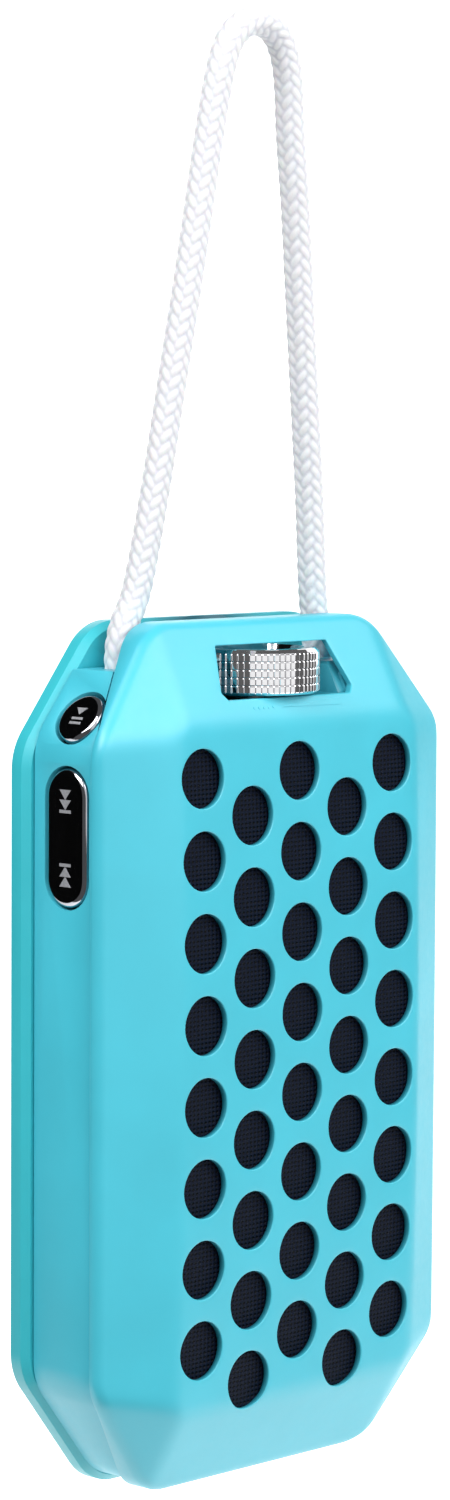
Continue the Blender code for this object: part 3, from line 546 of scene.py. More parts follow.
WINDOW_BOTTOM = 0.0652
WINDOW_TOP = 0.0743
WINDOW_HALF_TOP = 0.0141
WINDOW_HALF_WIDE = 0.0166
WINDOW_HALF_BOTTOM = 0.0154
WINDOW_SHOULDER = 0.0013
WINDOW_CORNER = 0.00045
WINDOW_EDGE = 0.00022


def crown(z):
    """How far the gently domed front face has fallen back at a height."""
    return FACE_CROWN * z * z


def soft_max(first, second):
    """The larger of two depths, blended where they are close, which rounds the crease between facets."""
    near = max(CREASE - abs(first - second), 0.0) / CREASE
    return max(first, second) + near * near * CREASE / 4


def plane_through(*points):
    """Depth as a function of |x| and z on the plane through three points."""
    start, second, third = (Vector(point) for point in points)
    normal = (second - start).cross(third - start)
    return lambda x, z: start.y - (normal.x * (abs(x) - start.x) + normal.z * (z - start.z)) / normal.y


TOP_CORNER = plane_through(
    (FACE_HALF_WIDTH - FACE_CORNER_X / 2, crown(FACE_TOP), FACE_TOP - FACE_CORNER_Z / 2),
    (SHELL_HALF_WIDTH, FACET_DEPTH_SIDE, CUT_START_TOP),
    (SHELL_HALF_WIDTH - CORNER_CUT_X, FACET_DEPTH_END, SHELL_TOP))
BOTTOM_CORNER = plane_through(
    (FACE_HALF_WIDTH - FACE_CORNER_X / 2, crown(FACE_BOTTOM), FACE_BOTTOM + FACE_CORNER_Z / 2),
    (SHELL_HALF_WIDTH, FACET_DEPTH_SIDE, CUT_START_BOTTOM),
    (SHELL_HALF_WIDTH - CORNER_CUT_X, FACET_DEPTH_END, SHELL_BOTTOM))


def front_depth(x, z):
    """Depth of the front cover's skin: the domed face and the six kinds of facet round it."""
    flat = crown(z)
    across = (abs(x) - FACE_HALF_WIDTH) / (SHELL_HALF_WIDTH - FACE_HALF_WIDTH)
    side = flat + across * (FACET_DEPTH_SIDE - flat)
    top_share = (z - FACE_TOP) / (SHELL_TOP - FACE_TOP)
    top = crown(FACE_TOP) + top_share * (FACET_DEPTH_END - crown(FACE_TOP))
    bottom_share = (FACE_BOTTOM - z) / (FACE_BOTTOM - SHELL_BOTTOM)
    bottom = crown(FACE_BOTTOM) + bottom_share * (FACET_DEPTH_END - crown(FACE_BOTTOM))
    depth = soft_max(flat, side)
    for facet in (top, bottom, TOP_CORNER(x, z), BOTTOM_CORNER(x, z)):
        depth = soft_max(depth, facet)
    return depth


def lip_depth(z):
    """How far back the front cover's lip reaches at a height."""
    past = max(z - CUT_START_TOP, CUT_START_BOTTOM - z, 0.0) - LIP_STRAIGHT
    return LIP_DEPTH_SIDE + LIP_SLOPE * max(past, 0.0)


def hole_centres():
    """Centres of the sound holes: five columns of eight, every second column half a pitch lower."""
    centres = []
    for column in range(HOLE_COLUMNS):
        x = (column - (HOLE_COLUMNS - 1) / 2) * HOLE_COLUMN_STEP
        first = (HOLE_ROWS - 1) / 2 * HOLE_PITCH + HOLE_PITCH / 4 - (column % 2) * HOLE_PITCH / 2
        centres += [(x, first - row * HOLE_PITCH) for row in range(HOLE_ROWS)]
    return centres


def window_outline(spacing):
    """The wheel window with its small corner radii."""
    right = [(WINDOW_HALF_BOTTOM, WINDOW_BOTTOM), (WINDOW_HALF_WIDE, WINDOW_BOTTOM + WINDOW_SHOULDER),
             (WINDOW_HALF_TOP, WINDOW_TOP)]
    return divided(rounded(mirrored(right), WINDOW_CORNER, 4), spacing)


def quarter(radius, step):
    """One step of a quarter round: how far in from the edge, and how deep under the surface."""
    angle = math.pi / 2 * step / EDGE_STEPS
    return radius * (1 - math.cos(angle)), radius * (1 - math.sin(angle))


def skin(shape, loops, grid, outside):
    """Triangulate between the loops and the grid's vertices, without slivers and what is called outside."""
    verts = [vert for loop in loops for vert in loop] + grid
    places = [Vector((vert.co.x, vert.co.z)) * BIG for vert in verts]
    edges = []
    first = 0
    for loop in loops:
        edges += [(first + index, first + (index + 1) % len(loop)) for index in range(len(loop))]
        first += len(loop)
    found, _, faces, origins, _, _ = delaunay_2d_cdt(places, edges, [], 0, 0.00001, True)
    for face in faces:
        first, second, third = (found[index] for index in face)
        if abs((second - first).cross(third - first)) < SLIVER:
            continue
        x, z = (first + second + third) / (3 * BIG)
        if not outside(x, z):
            shape.faces.new([verts[origins[index][0]] for index in face])


def grid_places(spacing, margin, hole_margin):
    """Places of a staggered grid over the cover, clear of its edge, its holes and its window."""
    border = inset(SHELL_OUTLINE, margin)
    window = inset(window_outline(1.0), -hole_margin)
    centres = hole_centres()
    reach = HOLE_RADIUS + hole_margin
    places = []
    rows = int((SHELL_TOP - SHELL_BOTTOM) / (spacing * ROW_STEP))
    columns = int(2 * SHELL_HALF_WIDTH / spacing)
    for row in range(rows):
        z = SHELL_BOTTOM + row * spacing * ROW_STEP
        for column in range(columns + 1):
            x = -SHELL_HALF_WIDTH + (column + 0.5 * (row % 2)) * spacing
            if not inside(border, x, z) or inside(window, x, z):
                continue
            if all((x - a) ** 2 + (z - b) ** 2 > reach * reach for a, b in centres):
                places.append((x, z))
    return places


def make_front_cover():
    """The perforated front cover as one closed shell with rounded edges at its rim, holes and window."""
    shape = bmesh.new()
    # each vertex's amount of painted shade
    wall = shape.verts.layers.float.new(PAINTED_SHADE)
    outline = divided(SHELL_OUTLINE, FACE_GRID)
    window = window_outline(0.8 * MM)
    centres = hole_centres()

    def edge_loops(make, radius):
        """Loops of a rounded edge, from its deep end to the surface; make gives the outline at a distance."""
        loops = []
        for step in range(EDGE_STEPS + 1):
            along, deep = quarter(radius, step)
            loops.append([shape.verts.new((x, front_depth(x, z) + deep, z)) for x, z in make(along)])
        return loops

    rim = edge_loops(lambda d: inset(outline, d), SHELL_EDGE)
    holes = [edge_loops(lambda d, c=c: circle(HOLE_RADIUS + d, HOLE_SIDES, *c), HOLE_EDGE) for c in centres]
    pane = edge_loops(lambda d: inset(window, -d), WINDOW_EDGE)
    for loops in [rim, pane] + holes:
        for near, far in zip(loops, loops[1:]):
            bridge(shape, near, far)

    def opening_test(pane_edge, radius):
        reach = (radius * math.cos(math.pi / HOLE_SIDES)) ** 2
        return lambda x, z: (inside(pane_edge, x, z)
                             or any((x - a) ** 2 + (z - b) ** 2 < reach for a, b in centres))

    grid = [shape.verts.new((x, front_depth(x, z), z))
            for x, z in grid_places(FACE_GRID, SHELL_EDGE + 0.5 * MM, HOLE_EDGE + 0.4 * MM)]
    skin(shape, [rim[-1], pane[-1]] + [loops[-1] for loops in holes], grid,
         opening_test(inset(window, -WINDOW_EDGE), HOLE_RADIUS + HOLE_EDGE))

    inner_edge = inset(outline, SHELL_WALL)
    round_edge = SHELL_WALL / 4
    lip = [ring(outline, lambda x, z: lip_depth(z) - round_edge),
           ring(inset(outline, round_edge * 0.3), lambda x, z: lip_depth(z) - round_edge * 0.3),
           ring(inset(outline, round_edge), lambda x, z: lip_depth(z)),
           ring(inset(outline, SHELL_WALL - round_edge), lambda x, z: lip_depth(z)),
           ring(inner_edge, lambda x, z: lip_depth(z) - round_edge),
           ring(inner_edge, lambda x, z: front_depth(x, z) + SHELL_WALL)]
    previous = rim[0]
    for points in lip:
        following = [shape.verts.new(point) for point in points]
        bridge(shape, previous, following)
        previous = following
    inner_loops = [previous]
    for loops in [pane] + holes:
        back = [shape.verts.new((v.co.x, front_depth(v.co.x, v.co.z) + SHELL_WALL, v.co.z)) for v in loops[0]]
        bridge(shape, loops[0], back)
        inner_loops.append(back)
        # painted shade: each wall darkens from a little at its front to full at its back, less in the window
        for vert in back:
            vert[wall] = PAINTED_WINDOW_SHADE if loops is pane else 1.0
        for vert in loops[0]:
            vert[wall] = PAINTED_SHADE_START
    grid = [shape.verts.new((x, front_depth(x, z) + SHELL_WALL, z))
            for x, z in grid_places(2 * FACE_GRID, SHELL_WALL + MM, 0.8 * MM)]
    skin(shape, inner_loops, grid, opening_test(window, HOLE_RADIUS))
    cover = add_piece("front_cover", mesh_from(shape, "front_cover", 50), FINISHES["turquoise_plastic"])
    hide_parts("front_shell")


make_front_cover()


# ---------------------------------------------------------------- speaker grille
MESH_GAP = 0.0003
MESH_THICKNESS = 0.0005
MESH_TOP = 0.0585
MESH_BOTTOM = -0.0580
MESH_HALF_WIDTH = 0.0292
MESH_HALF_FOOT = 0.0260
MESH_CORNER = 0.0030
MESH_GRID = 0.002


def make_grille():
    """The perforated sheet behind the sound holes, following the face's dome."""
    outline = mirrored([(MESH_HALF_FOOT, MESH_BOTTOM), (MESH_HALF_WIDTH, MESH_BOTTOM + MESH_CORNER),
                        (MESH_HALF_WIDTH, MESH_TOP)])
    shape = bmesh.new()
    loop = divided(outline, MESH_GRID)
    half_columns = int(MESH_HALF_WIDTH / MESH_GRID)
    behind = SHELL_WALL + MESH_GAP
    layers = []
    for depth in (behind, behind + MESH_THICKNESS):
        edge = [shape.verts.new((x, crown(z) + depth, z)) for x, z in loop]
        grid = []
        for row in range(1, int((MESH_TOP - MESH_BOTTOM) / MESH_GRID)):
            for column in range(-half_columns, half_columns + 1):
                x, z = column * MESH_GRID, MESH_BOTTOM + row * MESH_GRID
                if inside(outline, x, z, 0.5 * MESH_GRID):
                    grid.append(shape.verts.new((x, crown(z) + depth, z)))
        skin(shape, [edge], grid, lambda x, z: False)
        layers.append(edge)
    bridge(shape, *layers)
    sheet = add_piece("grille", mesh_from(shape, "grille"), FINISHES["mesh_black"])
    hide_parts("speaker_mesh")


make_grille()


# ---------------------------------------------------------------- middle housing
BAND_INSET = 0.0007
BAND_MITRE = 1.6
BAND_WALL = 0.0026
BAND_BACK = 0.0230
TONGUE_INSET = 0.0018
TONGUE_LENGTH = 0.0013
FACET_CLEARANCE = 0.0013
INNER_CORNER_RADIUS = 0.0006
SLOT_FLOOR = 0.0705
POCKET_FLOOR = 0.0645
POCKET_HALF_WIDTH = 0.0150
# Painted shade on the wheel pocket: the amount on its right half, and on the housing beyond its right wall
PAINTED_POCKET_SHADE = 0.30
PAINTED_POCKET_OUTER_SHADE = 0.60
GAP = 0.0003
REACH = 0.006
SOCKETS = (((0.0388, 0.0168, -0.0240), (0.0070, 0.0030, 0.0080)),
           ((0.0375, 0.0155, -0.0080), (0.0096, 0.0056, 0.0056)))
BUTTON_CENTRE_Y = 0.0152
PLAY_OPENING_RADIUS = 0.0052
PLAY_ALONG_CUT = 0.0050
ROCKER_CENTRE_Z = 0.0427
ROCKER_OPENING = (0.0245, 0.0106)
ROPE_EXIT_Y = 0.0190
ROPE_HOLE_X = 0.0243
ROPE_HOLE_RADIUS = 0.0030
ROPE_HOLE_HALF_SLOT = 0.0022
WHEEL_AXIS_Y = 0.0126
SHAFT_RADIUS = 0.0020
SIDEWAYS = Matrix.Rotation(-math.pi / 2, 4, "Z")
UPRIGHT = Matrix.Rotation(math.pi / 2, 4, "Z") @ Matrix.Rotation(math.pi / 2, 4, "X")


def band_outline(distance=0.0):
    """The housing's outline moved inwards by a distance, its outer corners rounded like the shell's."""
    half = SHELL_HALF_WIDTH - BAND_INSET
    bottom = SHELL_BOTTOM + BAND_INSET
    floor_half = half - (SLOT_FLOOR - CUT_START_TOP) * CORNER_CUT_X / CORNER_CUT_Z
    right = [(half - CORNER_CUT_X, bottom), (half, bottom + CORNER_CUT_Z), (half, CUT_START_TOP),
             (floor_half, SLOT_FLOOR), (POCKET_HALF_WIDTH, SLOT_FLOOR), (POCKET_HALF_WIDTH, POCKET_FLOOR)]
    corners = inset(mirrored(right), distance)
    large, small = CORNER_RADIUS - distance, INNER_CORNER_RADIUS
    return rounded(corners, [large] * 3 + [small] * 6 + [large] * 3, ARC_STEPS)


def behind_top_facet(z):
    """A depth just behind the inside of the upper facet."""
    slope = (FACET_DEPTH_END - crown(FACE_TOP)) / (SHELL_TOP - FACE_TOP)
    return crown(FACE_TOP) + (z - FACE_TOP) * slope + 1.15 * SHELL_WALL + 2 * GAP


def at_pocket(x, z):
    """True at the wheel pocket, where the housing reaches up to the back of the facet."""
    return z > FACE_TOP - GAP and abs(x) < POCKET_HALF_WIDTH + BAND_WALL + GAP


def band_front(x, z, distance):
    """Front edge of the visible band: a gap behind the lip, or up to the facet at the wheel pocket."""
    if at_pocket(x, z):
        return behind_top_facet(z) + 2 * GAP
    return lip_depth(z + math.copysign(distance * BAND_MITRE, z)) + GAP


def tongue_front(x, z):
    """Front edge of the tongue that keys into the front cover."""
    if at_pocket(x, z):
        return behind_top_facet(z)
    end_share = min(max(z - CUT_START_TOP, CUT_START_BOTTOM - z, 0.0) / CORNER_CUT_Z, 1.0)
    facet = FACET_DEPTH_SIDE + (FACET_DEPTH_END - FACET_DEPTH_SIDE) * end_share
    return max(lip_depth(z) + GAP - TONGUE_LENGTH, facet + FACET_CLEARANCE)


def play_frame():
    """Centre and outward normal of the play button on the upper left corner cut."""
    length = math.hypot(CORNER_CUT_X, CORNER_CUT_Z)
    along = Vector((CORNER_CUT_X / length, 0.0, CORNER_CUT_Z / length))
    normal = Vector((-CORNER_CUT_Z / length, 0.0, CORNER_CUT_X / length))
    start = Vector((-(SHELL_HALF_WIDTH - BAND_INSET), BUTTON_CENTRE_Y, CUT_START_TOP))
    return start + along * PLAY_ALONG_CUT, normal


def slot_tool(half_length, half_width, turn, place):
    """A pill-shaped cutter through a wall, drawn along Y and then turned."""
    outline = pill(half_length, half_width, 16)
    tool = temporary(loft([ring(outline, -REACH), ring(outline, REACH)]), place)
    tool.matrix_world = Matrix.Translation(tool.location) @ turn
    return tool


def make_housing():
    """The ring that carries the buttons, sockets, slot floor and wheel pocket."""
    outline = band_outline()
    tongue = band_outline(TONGUE_INSET)
    inner = band_outline(BAND_WALL)
    rings = [ring(outline, BAND_BACK), ring(outline, lambda x, z: band_front(x, z, BAND_INSET)),
             ring(tongue, lambda x, z: band_front(x, z, BAND_INSET + TONGUE_INSET)),
             ring(tongue, tongue_front), ring(inner, tongue_front), ring(inner, BAND_BACK),
             ring(outline, BAND_BACK)]
    shape = loft(rings, False)
    bmesh.ops.remove_doubles(shape, verts=shape.verts, dist=CLOSE)
    housing = add_piece("housing", mesh_from(shape, "housing"), FINISHES["turquoise_plastic"])
    centre, normal = play_frame()
    tools = [rod_tool(PLAY_OPENING_RADIUS, 2 * REACH, centre, normal, 64)]
    tools.append(slot_tool(ROCKER_OPENING[0] / 2, ROCKER_OPENING[1] / 2, SIDEWAYS,
                           (-SHELL_HALF_WIDTH, BUTTON_CENTRE_Y, ROCKER_CENTRE_Z)))
    for middle, size in SOCKETS:
        low = (SHELL_HALF_WIDTH - REACH, middle[1] - size[1] / 2 - GAP, middle[2] - size[2] / 2 - GAP)
        high = (SHELL_HALF_WIDTH + REACH, middle[1] + size[1] / 2 + GAP, middle[2] + size[2] / 2 + GAP)
        tools.append(box_tool(low, high))
    for side in (-1, 1):
        tools.append(slot_tool(ROPE_HOLE_HALF_SLOT + ROPE_HOLE_RADIUS, ROPE_HOLE_RADIUS, UPRIGHT,
                               (side * ROPE_HOLE_X, ROPE_EXIT_Y, SLOT_FLOOR)))
    tools.append(rod_tool(SHAFT_RADIUS + GAP, 4 * BAND_WALL, (0, WHEEL_AXIS_Y, POCKET_FLOOR), (0, 0, 1)))
    carve(housing, tools, 0.00022)
    # painted shade on the pocket's walls, darkest on the left one, which the wheel mirrors
    reach = POCKET_HALF_WIDTH + BAND_WALL + CLOSE

    def painted_pocket_shade(place):
        """Painted shade on the wheel pocket's walls: full on the left one, less on the right one."""
        if place.z <= POCKET_FLOOR - CLOSE or abs(place.x) >= reach:
            return 0.0
        if place.x < 0:
            return 1.0
        return PAINTED_POCKET_OUTER_SHADE if place.x > POCKET_HALF_WIDTH + CLOSE else PAINTED_POCKET_SHADE

    paint_wall_shade(housing, painted_pocket_shade)
    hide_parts("mid_housing")


make_housing()


# ---------------------------------------------------------------- back cover
RIM_HALF_WIDTH = 0.0442
RIM_TOP = 0.0784
RIM_BOTTOM = -0.0723
RIM_CUT_X = 0.0173
RIM_CUT_Z = 0.0219
RIM_TOP_CUT_X = 0.0168
RIM_TOP_CUT_Z = 0.0212
RIM_CHAMFER = 0.0011
RIM_FRONT = 0.0233
RIM_SHOULDER = 0.0246
RIM_BACK = 0.0270
BACK_EDGE_DEPTH = 0.0286
BACK_EDGE_INSET = 0.0021
BACK_PANEL_DEPTH = 0.0305
BACK_PANEL_INSET = 0.0114
BACK_PANEL_RADIUS = 0.0040
SCREW_PLACES = ((-0.0300, 0.0470), (0.0300, 0.0470), (-0.0300, -0.0500), (0.0300, -0.0500))
SCREW_BORE = 0.0027
SCREW_SINK = 0.0026
SHANK_BORE = 0.0014
PILOT_LENGTH = 0.0220
WHEEL_RADIUS = 0.0118
WHEEL_TOP = 0.0735
WHEEL_BOTTOM = 0.0656


def rim_corners():
    """Corners of the rim's outline, cut a little less at the top than at the bottom."""
    right = [(RIM_HALF_WIDTH - RIM_CUT_X, RIM_BOTTOM), (RIM_HALF_WIDTH, RIM_BOTTOM + RIM_CUT_Z),
             (RIM_HALF_WIDTH, RIM_TOP - RIM_TOP_CUT_Z), (RIM_HALF_WIDTH - RIM_TOP_CUT_X, RIM_TOP)]
    return mirrored(right)


def make_back():
    """The back cover: a raised rim round a shallow faceted panel, hollow inside."""
    cavity = band_outline(BAND_WALL)
    corners = rim_corners()
    rim = rounded(corners, CORNER_RADIUS, ARC_STEPS)
    panel = rounded(inset(corners, BACK_PANEL_INSET), BACK_PANEL_RADIUS, ARC_STEPS)
    shape = loft([ring(inset(rim, RIM_CHAMFER), RIM_FRONT), ring(rim, RIM_SHOULDER), ring(rim, RIM_BACK),
                  ring(inset(rim, BACK_EDGE_INSET), BACK_EDGE_DEPTH), ring(panel, BACK_PANEL_DEPTH)])
    cover = add_piece("back", mesh_from(shape, "back"), FINISHES["turquoise_rim"])
    tools = [temporary(loft([ring(cavity, BAND_BACK - GAP), ring(cavity, RIM_BACK)]))]
    tools.append(rod_tool(WHEEL_RADIUS + 3 * GAP, 0.020, (0, WHEEL_AXIS_Y, WHEEL_TOP), (0, 0, 1), 96))
    for x, z in SCREW_PLACES:
        tools.append(rod_tool(SCREW_BORE, 2 * SCREW_SINK, (x, BACK_PANEL_DEPTH, z), (0, 1, 0)))
        tools.append(rod_tool(SHANK_BORE, PILOT_LENGTH, (x, RIM_BACK, z), (0, 1, 0), 24))
    carve(cover, tools, 0.0003)
    # painted shade: full on the cut round the wheel, which the wheel's dish mirrors
    paint_wall_shade(cover, lambda p: float(math.hypot(p.x, p.y - WHEEL_AXIS_Y) < WHEEL_RADIUS + 4 * GAP))
    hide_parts("back_cover")


make_back()


# ---------------------------------------------------------------- volume wheel
WHEEL_CHAMFER = 0.0007
WHEEL_DISH_RADIUS = 0.0088
WHEEL_DISH_DEPTH = 0.0010
KNURL_COLUMNS = 70
KNURL_ROWS = 5
KNURL_DEPTH = 0.00016
KNURL_GROOVE = 0.13
WHEEL_RIM = 0.00035
WHEEL_TOP_EDGE = (0.0002, 0.0001)
WHEEL_SIDE_EDGE = 0.00008


def make_wheel():
    """The thumbwheel: a dished top, a chamfer, and rows of small square studs round its edge."""
    dish = WHEEL_TOP - WHEEL_DISH_DEPTH
    low, high = WHEEL_BOTTOM + WHEEL_RIM, WHEEL_TOP - WHEEL_CHAMFER
    shape = bmesh.new()
    fractions = (0.0, KNURL_GROOVE, 1 - KNURL_GROOVE)
    turns = [math.tau * (column + part) / KNURL_COLUMNS
             for column in range(KNURL_COLUMNS) for part in fractions]

    def circle_at(radius, height):
        return [shape.verts.new((radius * math.cos(a), radius * math.sin(a), height)) for a in turns]

    chamfered = WHEEL_RADIUS - WHEEL_CHAMFER
    loops = [circle_at(r, z) for r, z in (
        (SHAFT_RADIUS + GAP, dish), (WHEEL_DISH_RADIUS, dish), (WHEEL_DISH_RADIUS + GAP, WHEEL_TOP),
        (chamfered - WHEEL_TOP_EDGE[0], WHEEL_TOP), (chamfered, WHEEL_TOP - WHEEL_TOP_EDGE[1]),
        (WHEEL_RADIUS - WHEEL_SIDE_EDGE, high + WHEEL_SIDE_EDGE))]
    for row in range(KNURL_ROWS * 3 + 1):
        part = fractions[row % 3]
        height = high - (high - low) * min((row // 3 + part) / KNURL_ROWS, 1.0)
        loop = []
        for index, angle in enumerate(turns):
            proud = row % 3 and index % 3
            radius = WHEEL_RADIUS - (0 if proud else KNURL_DEPTH)
            loop.append(shape.verts.new((radius * math.cos(angle), radius * math.sin(angle), height)))
        loops.append(loop)
    loops += [circle_at(radius, WHEEL_BOTTOM) for radius in (chamfered, SHAFT_RADIUS + GAP)]
    for near, far in zip(loops, loops[1:] + loops[:1]):
        bridge(shape, near, far)
    bmesh.ops.translate(shape, vec=(0, WHEEL_AXIS_Y, 0), verts=shape.verts)
    mesh = mesh_from(shape, "knurled_wheel", 8)
    wheel = add_piece("knurled_wheel", mesh, FINISHES["chrome"], "volume_wheel")
    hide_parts("volume_wheel")


make_wheel()


# ---------------------------------------------------------------- buttons
PLAY_CAP_RADIUS = 0.0047
PLAY_PROUD = 0.0005
PLAY_FLANGE_DEPTH = 0.0014
PLAY_FLANGE_THICKNESS = 0.0008
PLAY_STEM_RADIUS = 0.0015
PLAY_STEM_LENGTH = 0.0012
ROCKER_CAP = (0.0236, 0.0097)
ROCKER_PROUD = 0.0004
ROCKER_UNDER_GAP = 0.0004
ROCKER_PIN_DEPTH = 0.0058
ROCKER_HUB_SIZE = (0.0050, 0.0036)
ROCKER_NIB_HEIGHT = 0.0080
ROCKER_NIB_SIZE = (0.0026, 0.0030, 0.0030)
CAP_EDGE = 0.0010
CAP_DOME = 0.0002
CAP_STEPS = 6
SYMBOL_HEIGHT = 0.00003
PLAY_SYMBOL_SCALE = 0.00155
SKIP_SYMBOL_SCALE = 0.0018
SKIP_SYMBOL_PLACE = 0.78 * ROCKER_NIB_HEIGHT


def make_play():
    """The round button: a gently domed mirror cap with a soft edge, a flange and a stem."""
    centre, normal = play_frame()
    under = -BAND_WALL - PLAY_FLANGE_DEPTH
    flange = PLAY_OPENING_RADIUS + GAP
    flange_end = under - PLAY_FLANGE_THICKNESS
    stem_end = flange_end - PLAY_STEM_LENGTH
    flat = PLAY_CAP_RADIUS - CAP_EDGE
    profile = [(0.0, PLAY_PROUD)]
    profile += [(flat * step / 4, PLAY_PROUD - CAP_DOME * (step / 4) ** 2) for step in range(1, 5)]
    for step in range(1, CAP_STEPS + 1):
        angle = math.pi / 2 * step / CAP_STEPS
        profile.append((flat + CAP_EDGE * math.sin(angle),
                        PLAY_PROUD - CAP_DOME - CAP_EDGE * (1 - math.cos(angle))))
    profile += [(PLAY_CAP_RADIUS, under), (flange, under), (flange, flange_end),
                (PLAY_STEM_RADIUS, flange_end), (PLAY_STEM_RADIUS, stem_end), (0.0, stem_end)]
    shape = turned(profile, 64)
    turn = normal.to_track_quat("Z", "Y").to_matrix().to_4x4()
    bmesh.ops.transform(shape, matrix=Matrix.Translation(centre) @ turn, verts=shape.verts)
    cap = add_piece("play_cap", mesh_from(shape, "play_cap", 40), FINISHES["gloss_black"], "play_button")
    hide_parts("play_button")
    along = Vector((0, 1, 0)).cross(normal)
    symbol = [arrow(-1.0, -0.1, 0.8), bar(0.25, 0.55, 0.8), bar(0.85, 1.15, 0.8)]
    print_symbol("play_symbol", symbol, PLAY_SYMBOL_SCALE, centre + normal * (PLAY_PROUD - CLOSE),
                 -along, Vector((0, 1, 0)), normal, "play_button")


def arrow(start, end, half_height):
    """Corners of a symbol's triangle, pointing to the right."""
    return [(start, -half_height), (end, 0.0), (start, half_height)]


def bar(start, end, half_height):
    """Corners of a symbol's upright bar."""
    return [(start, -half_height), (end, -half_height), (end, half_height), (start, half_height)]


def print_symbol(name, shapes, scale, centre, right, up, out, body):
    """A flat printed symbol: thin raised shapes on a button's face."""
    shape = bmesh.new()
    for corners in shapes:
        loft([[centre + (right * x + up * z) * scale + out * height for x, z in corners]
              for height in (-2 * SYMBOL_HEIGHT, SYMBOL_HEIGHT)], True, shape)
    symbol = add_piece(name, mesh_from(shape, name), SYMBOL_SILVER, body)


def make_rocker():
    """The long rocker for previous and next: a mirror cap with soft ends, its hub and two nibs."""
    wall_face = -(SHELL_HALF_WIDTH - BAND_INSET)
    face = wall_face - ROCKER_PROUD
    under = wall_face + BAND_WALL + ROCKER_UNDER_GAP
    cap = pill(ROCKER_CAP[0] / 2, ROCKER_CAP[1] / 2, 24)
    rings = [ring(inset(cap, 3 * CAP_EDGE), 0.0), ring(inset(cap, CAP_EDGE), CAP_DOME / 2)]
    for step in range(1, CAP_STEPS + 1):
        angle = math.pi / 2 * step / CAP_STEPS
        rings.append(ring(inset(cap, CAP_EDGE * (1 - math.sin(angle))),
                          CAP_DOME / 2 + CAP_EDGE * (1 - math.cos(angle))))
    rings.append(ring(cap, under - face))
    shape = loft(rings)
    bmesh.ops.transform(shape, verts=shape.verts, matrix=SIDEWAYS)
    bmesh.ops.translate(shape, verts=shape.verts, vec=(face, BUTTON_CENTRE_Y, ROCKER_CENTRE_Z))
    pin_x = wall_face + ROCKER_PIN_DEPTH
    hub_start, hub_end = under - 2 * GAP, pin_x + ROCKER_HUB_SIZE[1] / 2
    blocks = [((hub_start + hub_end) / 2, ROCKER_CENTRE_Z, (hub_end - hub_start, *ROCKER_HUB_SIZE))]
    for side in (-1, 1):
        blocks.append((under - 2 * GAP + ROCKER_NIB_SIZE[0] / 2,
                       ROCKER_CENTRE_Z + side * ROCKER_NIB_HEIGHT, ROCKER_NIB_SIZE))
    for x, z, size in blocks:
        made = bmesh.ops.create_cube(shape, size=1.0)["verts"]
        bmesh.ops.scale(shape, vec=size, verts=made)
        bmesh.ops.translate(shape, vec=(x, BUTTON_CENTRE_Y, z), verts=made)
    mesh = mesh_from(shape, "rocker_cap", 40)
    rocker = add_piece("rocker_cap", mesh, FINISHES["gloss_black"], "skip_rocker")
    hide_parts("skip_rocker")
    symbol = [arrow(-1.1, -0.15, 0.75), arrow(-0.15, 0.8, 0.75), bar(0.8, 1.1, 0.75)]
    for name, side in (("previous_symbol", 1), ("next_symbol", -1)):
        middle = Vector((face, BUTTON_CENTRE_Y, ROCKER_CENTRE_Z + side * SKIP_SYMBOL_PLACE))
        print_symbol(name, symbol, SKIP_SYMBOL_SCALE, middle, Vector((0, 0, -side)), Vector((0, side, 0)),
                     Vector((-1, 0, 0)), "skip_rocker")


make_play()
make_rocker()


# ---------------------------------------------------------------- rope handle
ROPE_DIAMETER = 0.0052
# The rope's two legs from the housing up: x of the left one, x of the right one, and the y and z of both
ROPE_LEGS = (
    (-0.0264, 0.0236, 0.0190, 0.0682), (-0.0264, 0.0236, 0.0190, 0.0735), (-0.0252, 0.0230, 0.0190, 0.0780),
    (-0.0225, 0.0220, 0.0187, 0.0840), (-0.0196, 0.0200, 0.0177, 0.0990), (-0.0170, 0.0174, 0.0166, 0.1160),
    (-0.0144, 0.0148, 0.0155, 0.1330), (-0.0121, 0.0124, 0.0145, 0.1490), (-0.0103, 0.0101, 0.0137, 0.1620),
    (-0.0086, 0.0086, 0.0130, 0.1720), (-0.0066, 0.0066, 0.0127, 0.1775), (-0.0036, 0.0036, 0.0125, 0.1804))
ROPE_APEX = (0.0, 0.0125, 0.1814)
ROPE_SPACING = 0.00032
ROPE_SIDES = 64
BRAID_STRANDS = 8
BRAID_CELL = 0.0023
BRAID_DEPTH = 0.00032
ROPE_SKIN = -0.00002


def smooth_route(points, spacing):
    """Points along a Catmull-Rom curve through the given ones."""
    padded = [points[0]] + points + [points[-1]]
    route = []
    for first, start, end, last in zip(padded, padded[1:], padded[2:], padded[3:]):
        a, b, c, d = (Vector(point) for point in (first, start, end, last))
        steps = max(1, round((c - b).length / spacing))
        for step in range(steps):
            t = step / steps
            route.append(0.5 * (2 * b + (c - a) * t + (2 * a - 5 * b + 4 * c - d) * t * t
                                + (3 * b - 3 * c + d - a) * t * t * t))
    route.append(Vector(points[-1]))
    return route


def braid_height(turn, along):
    """Height of the braid, 0 to 1: strands of two families, each passing over two others and under two."""
    first = turn * BRAID_STRANDS + along / BRAID_CELL
    second = turn * BRAID_STRANDS - along / BRAID_CELL
    a, b = first % 1.0, second % 1.0
    place = (math.floor(first) + math.floor(second)) % 4
    across, along_float = (a, (place + b) / 2) if place < 2 else (b, (place - 2 + a) / 2)
    return math.sin(math.pi * across) ** 0.6 * (0.25 + 0.75 * math.sin(math.pi * along_float) ** 0.7)


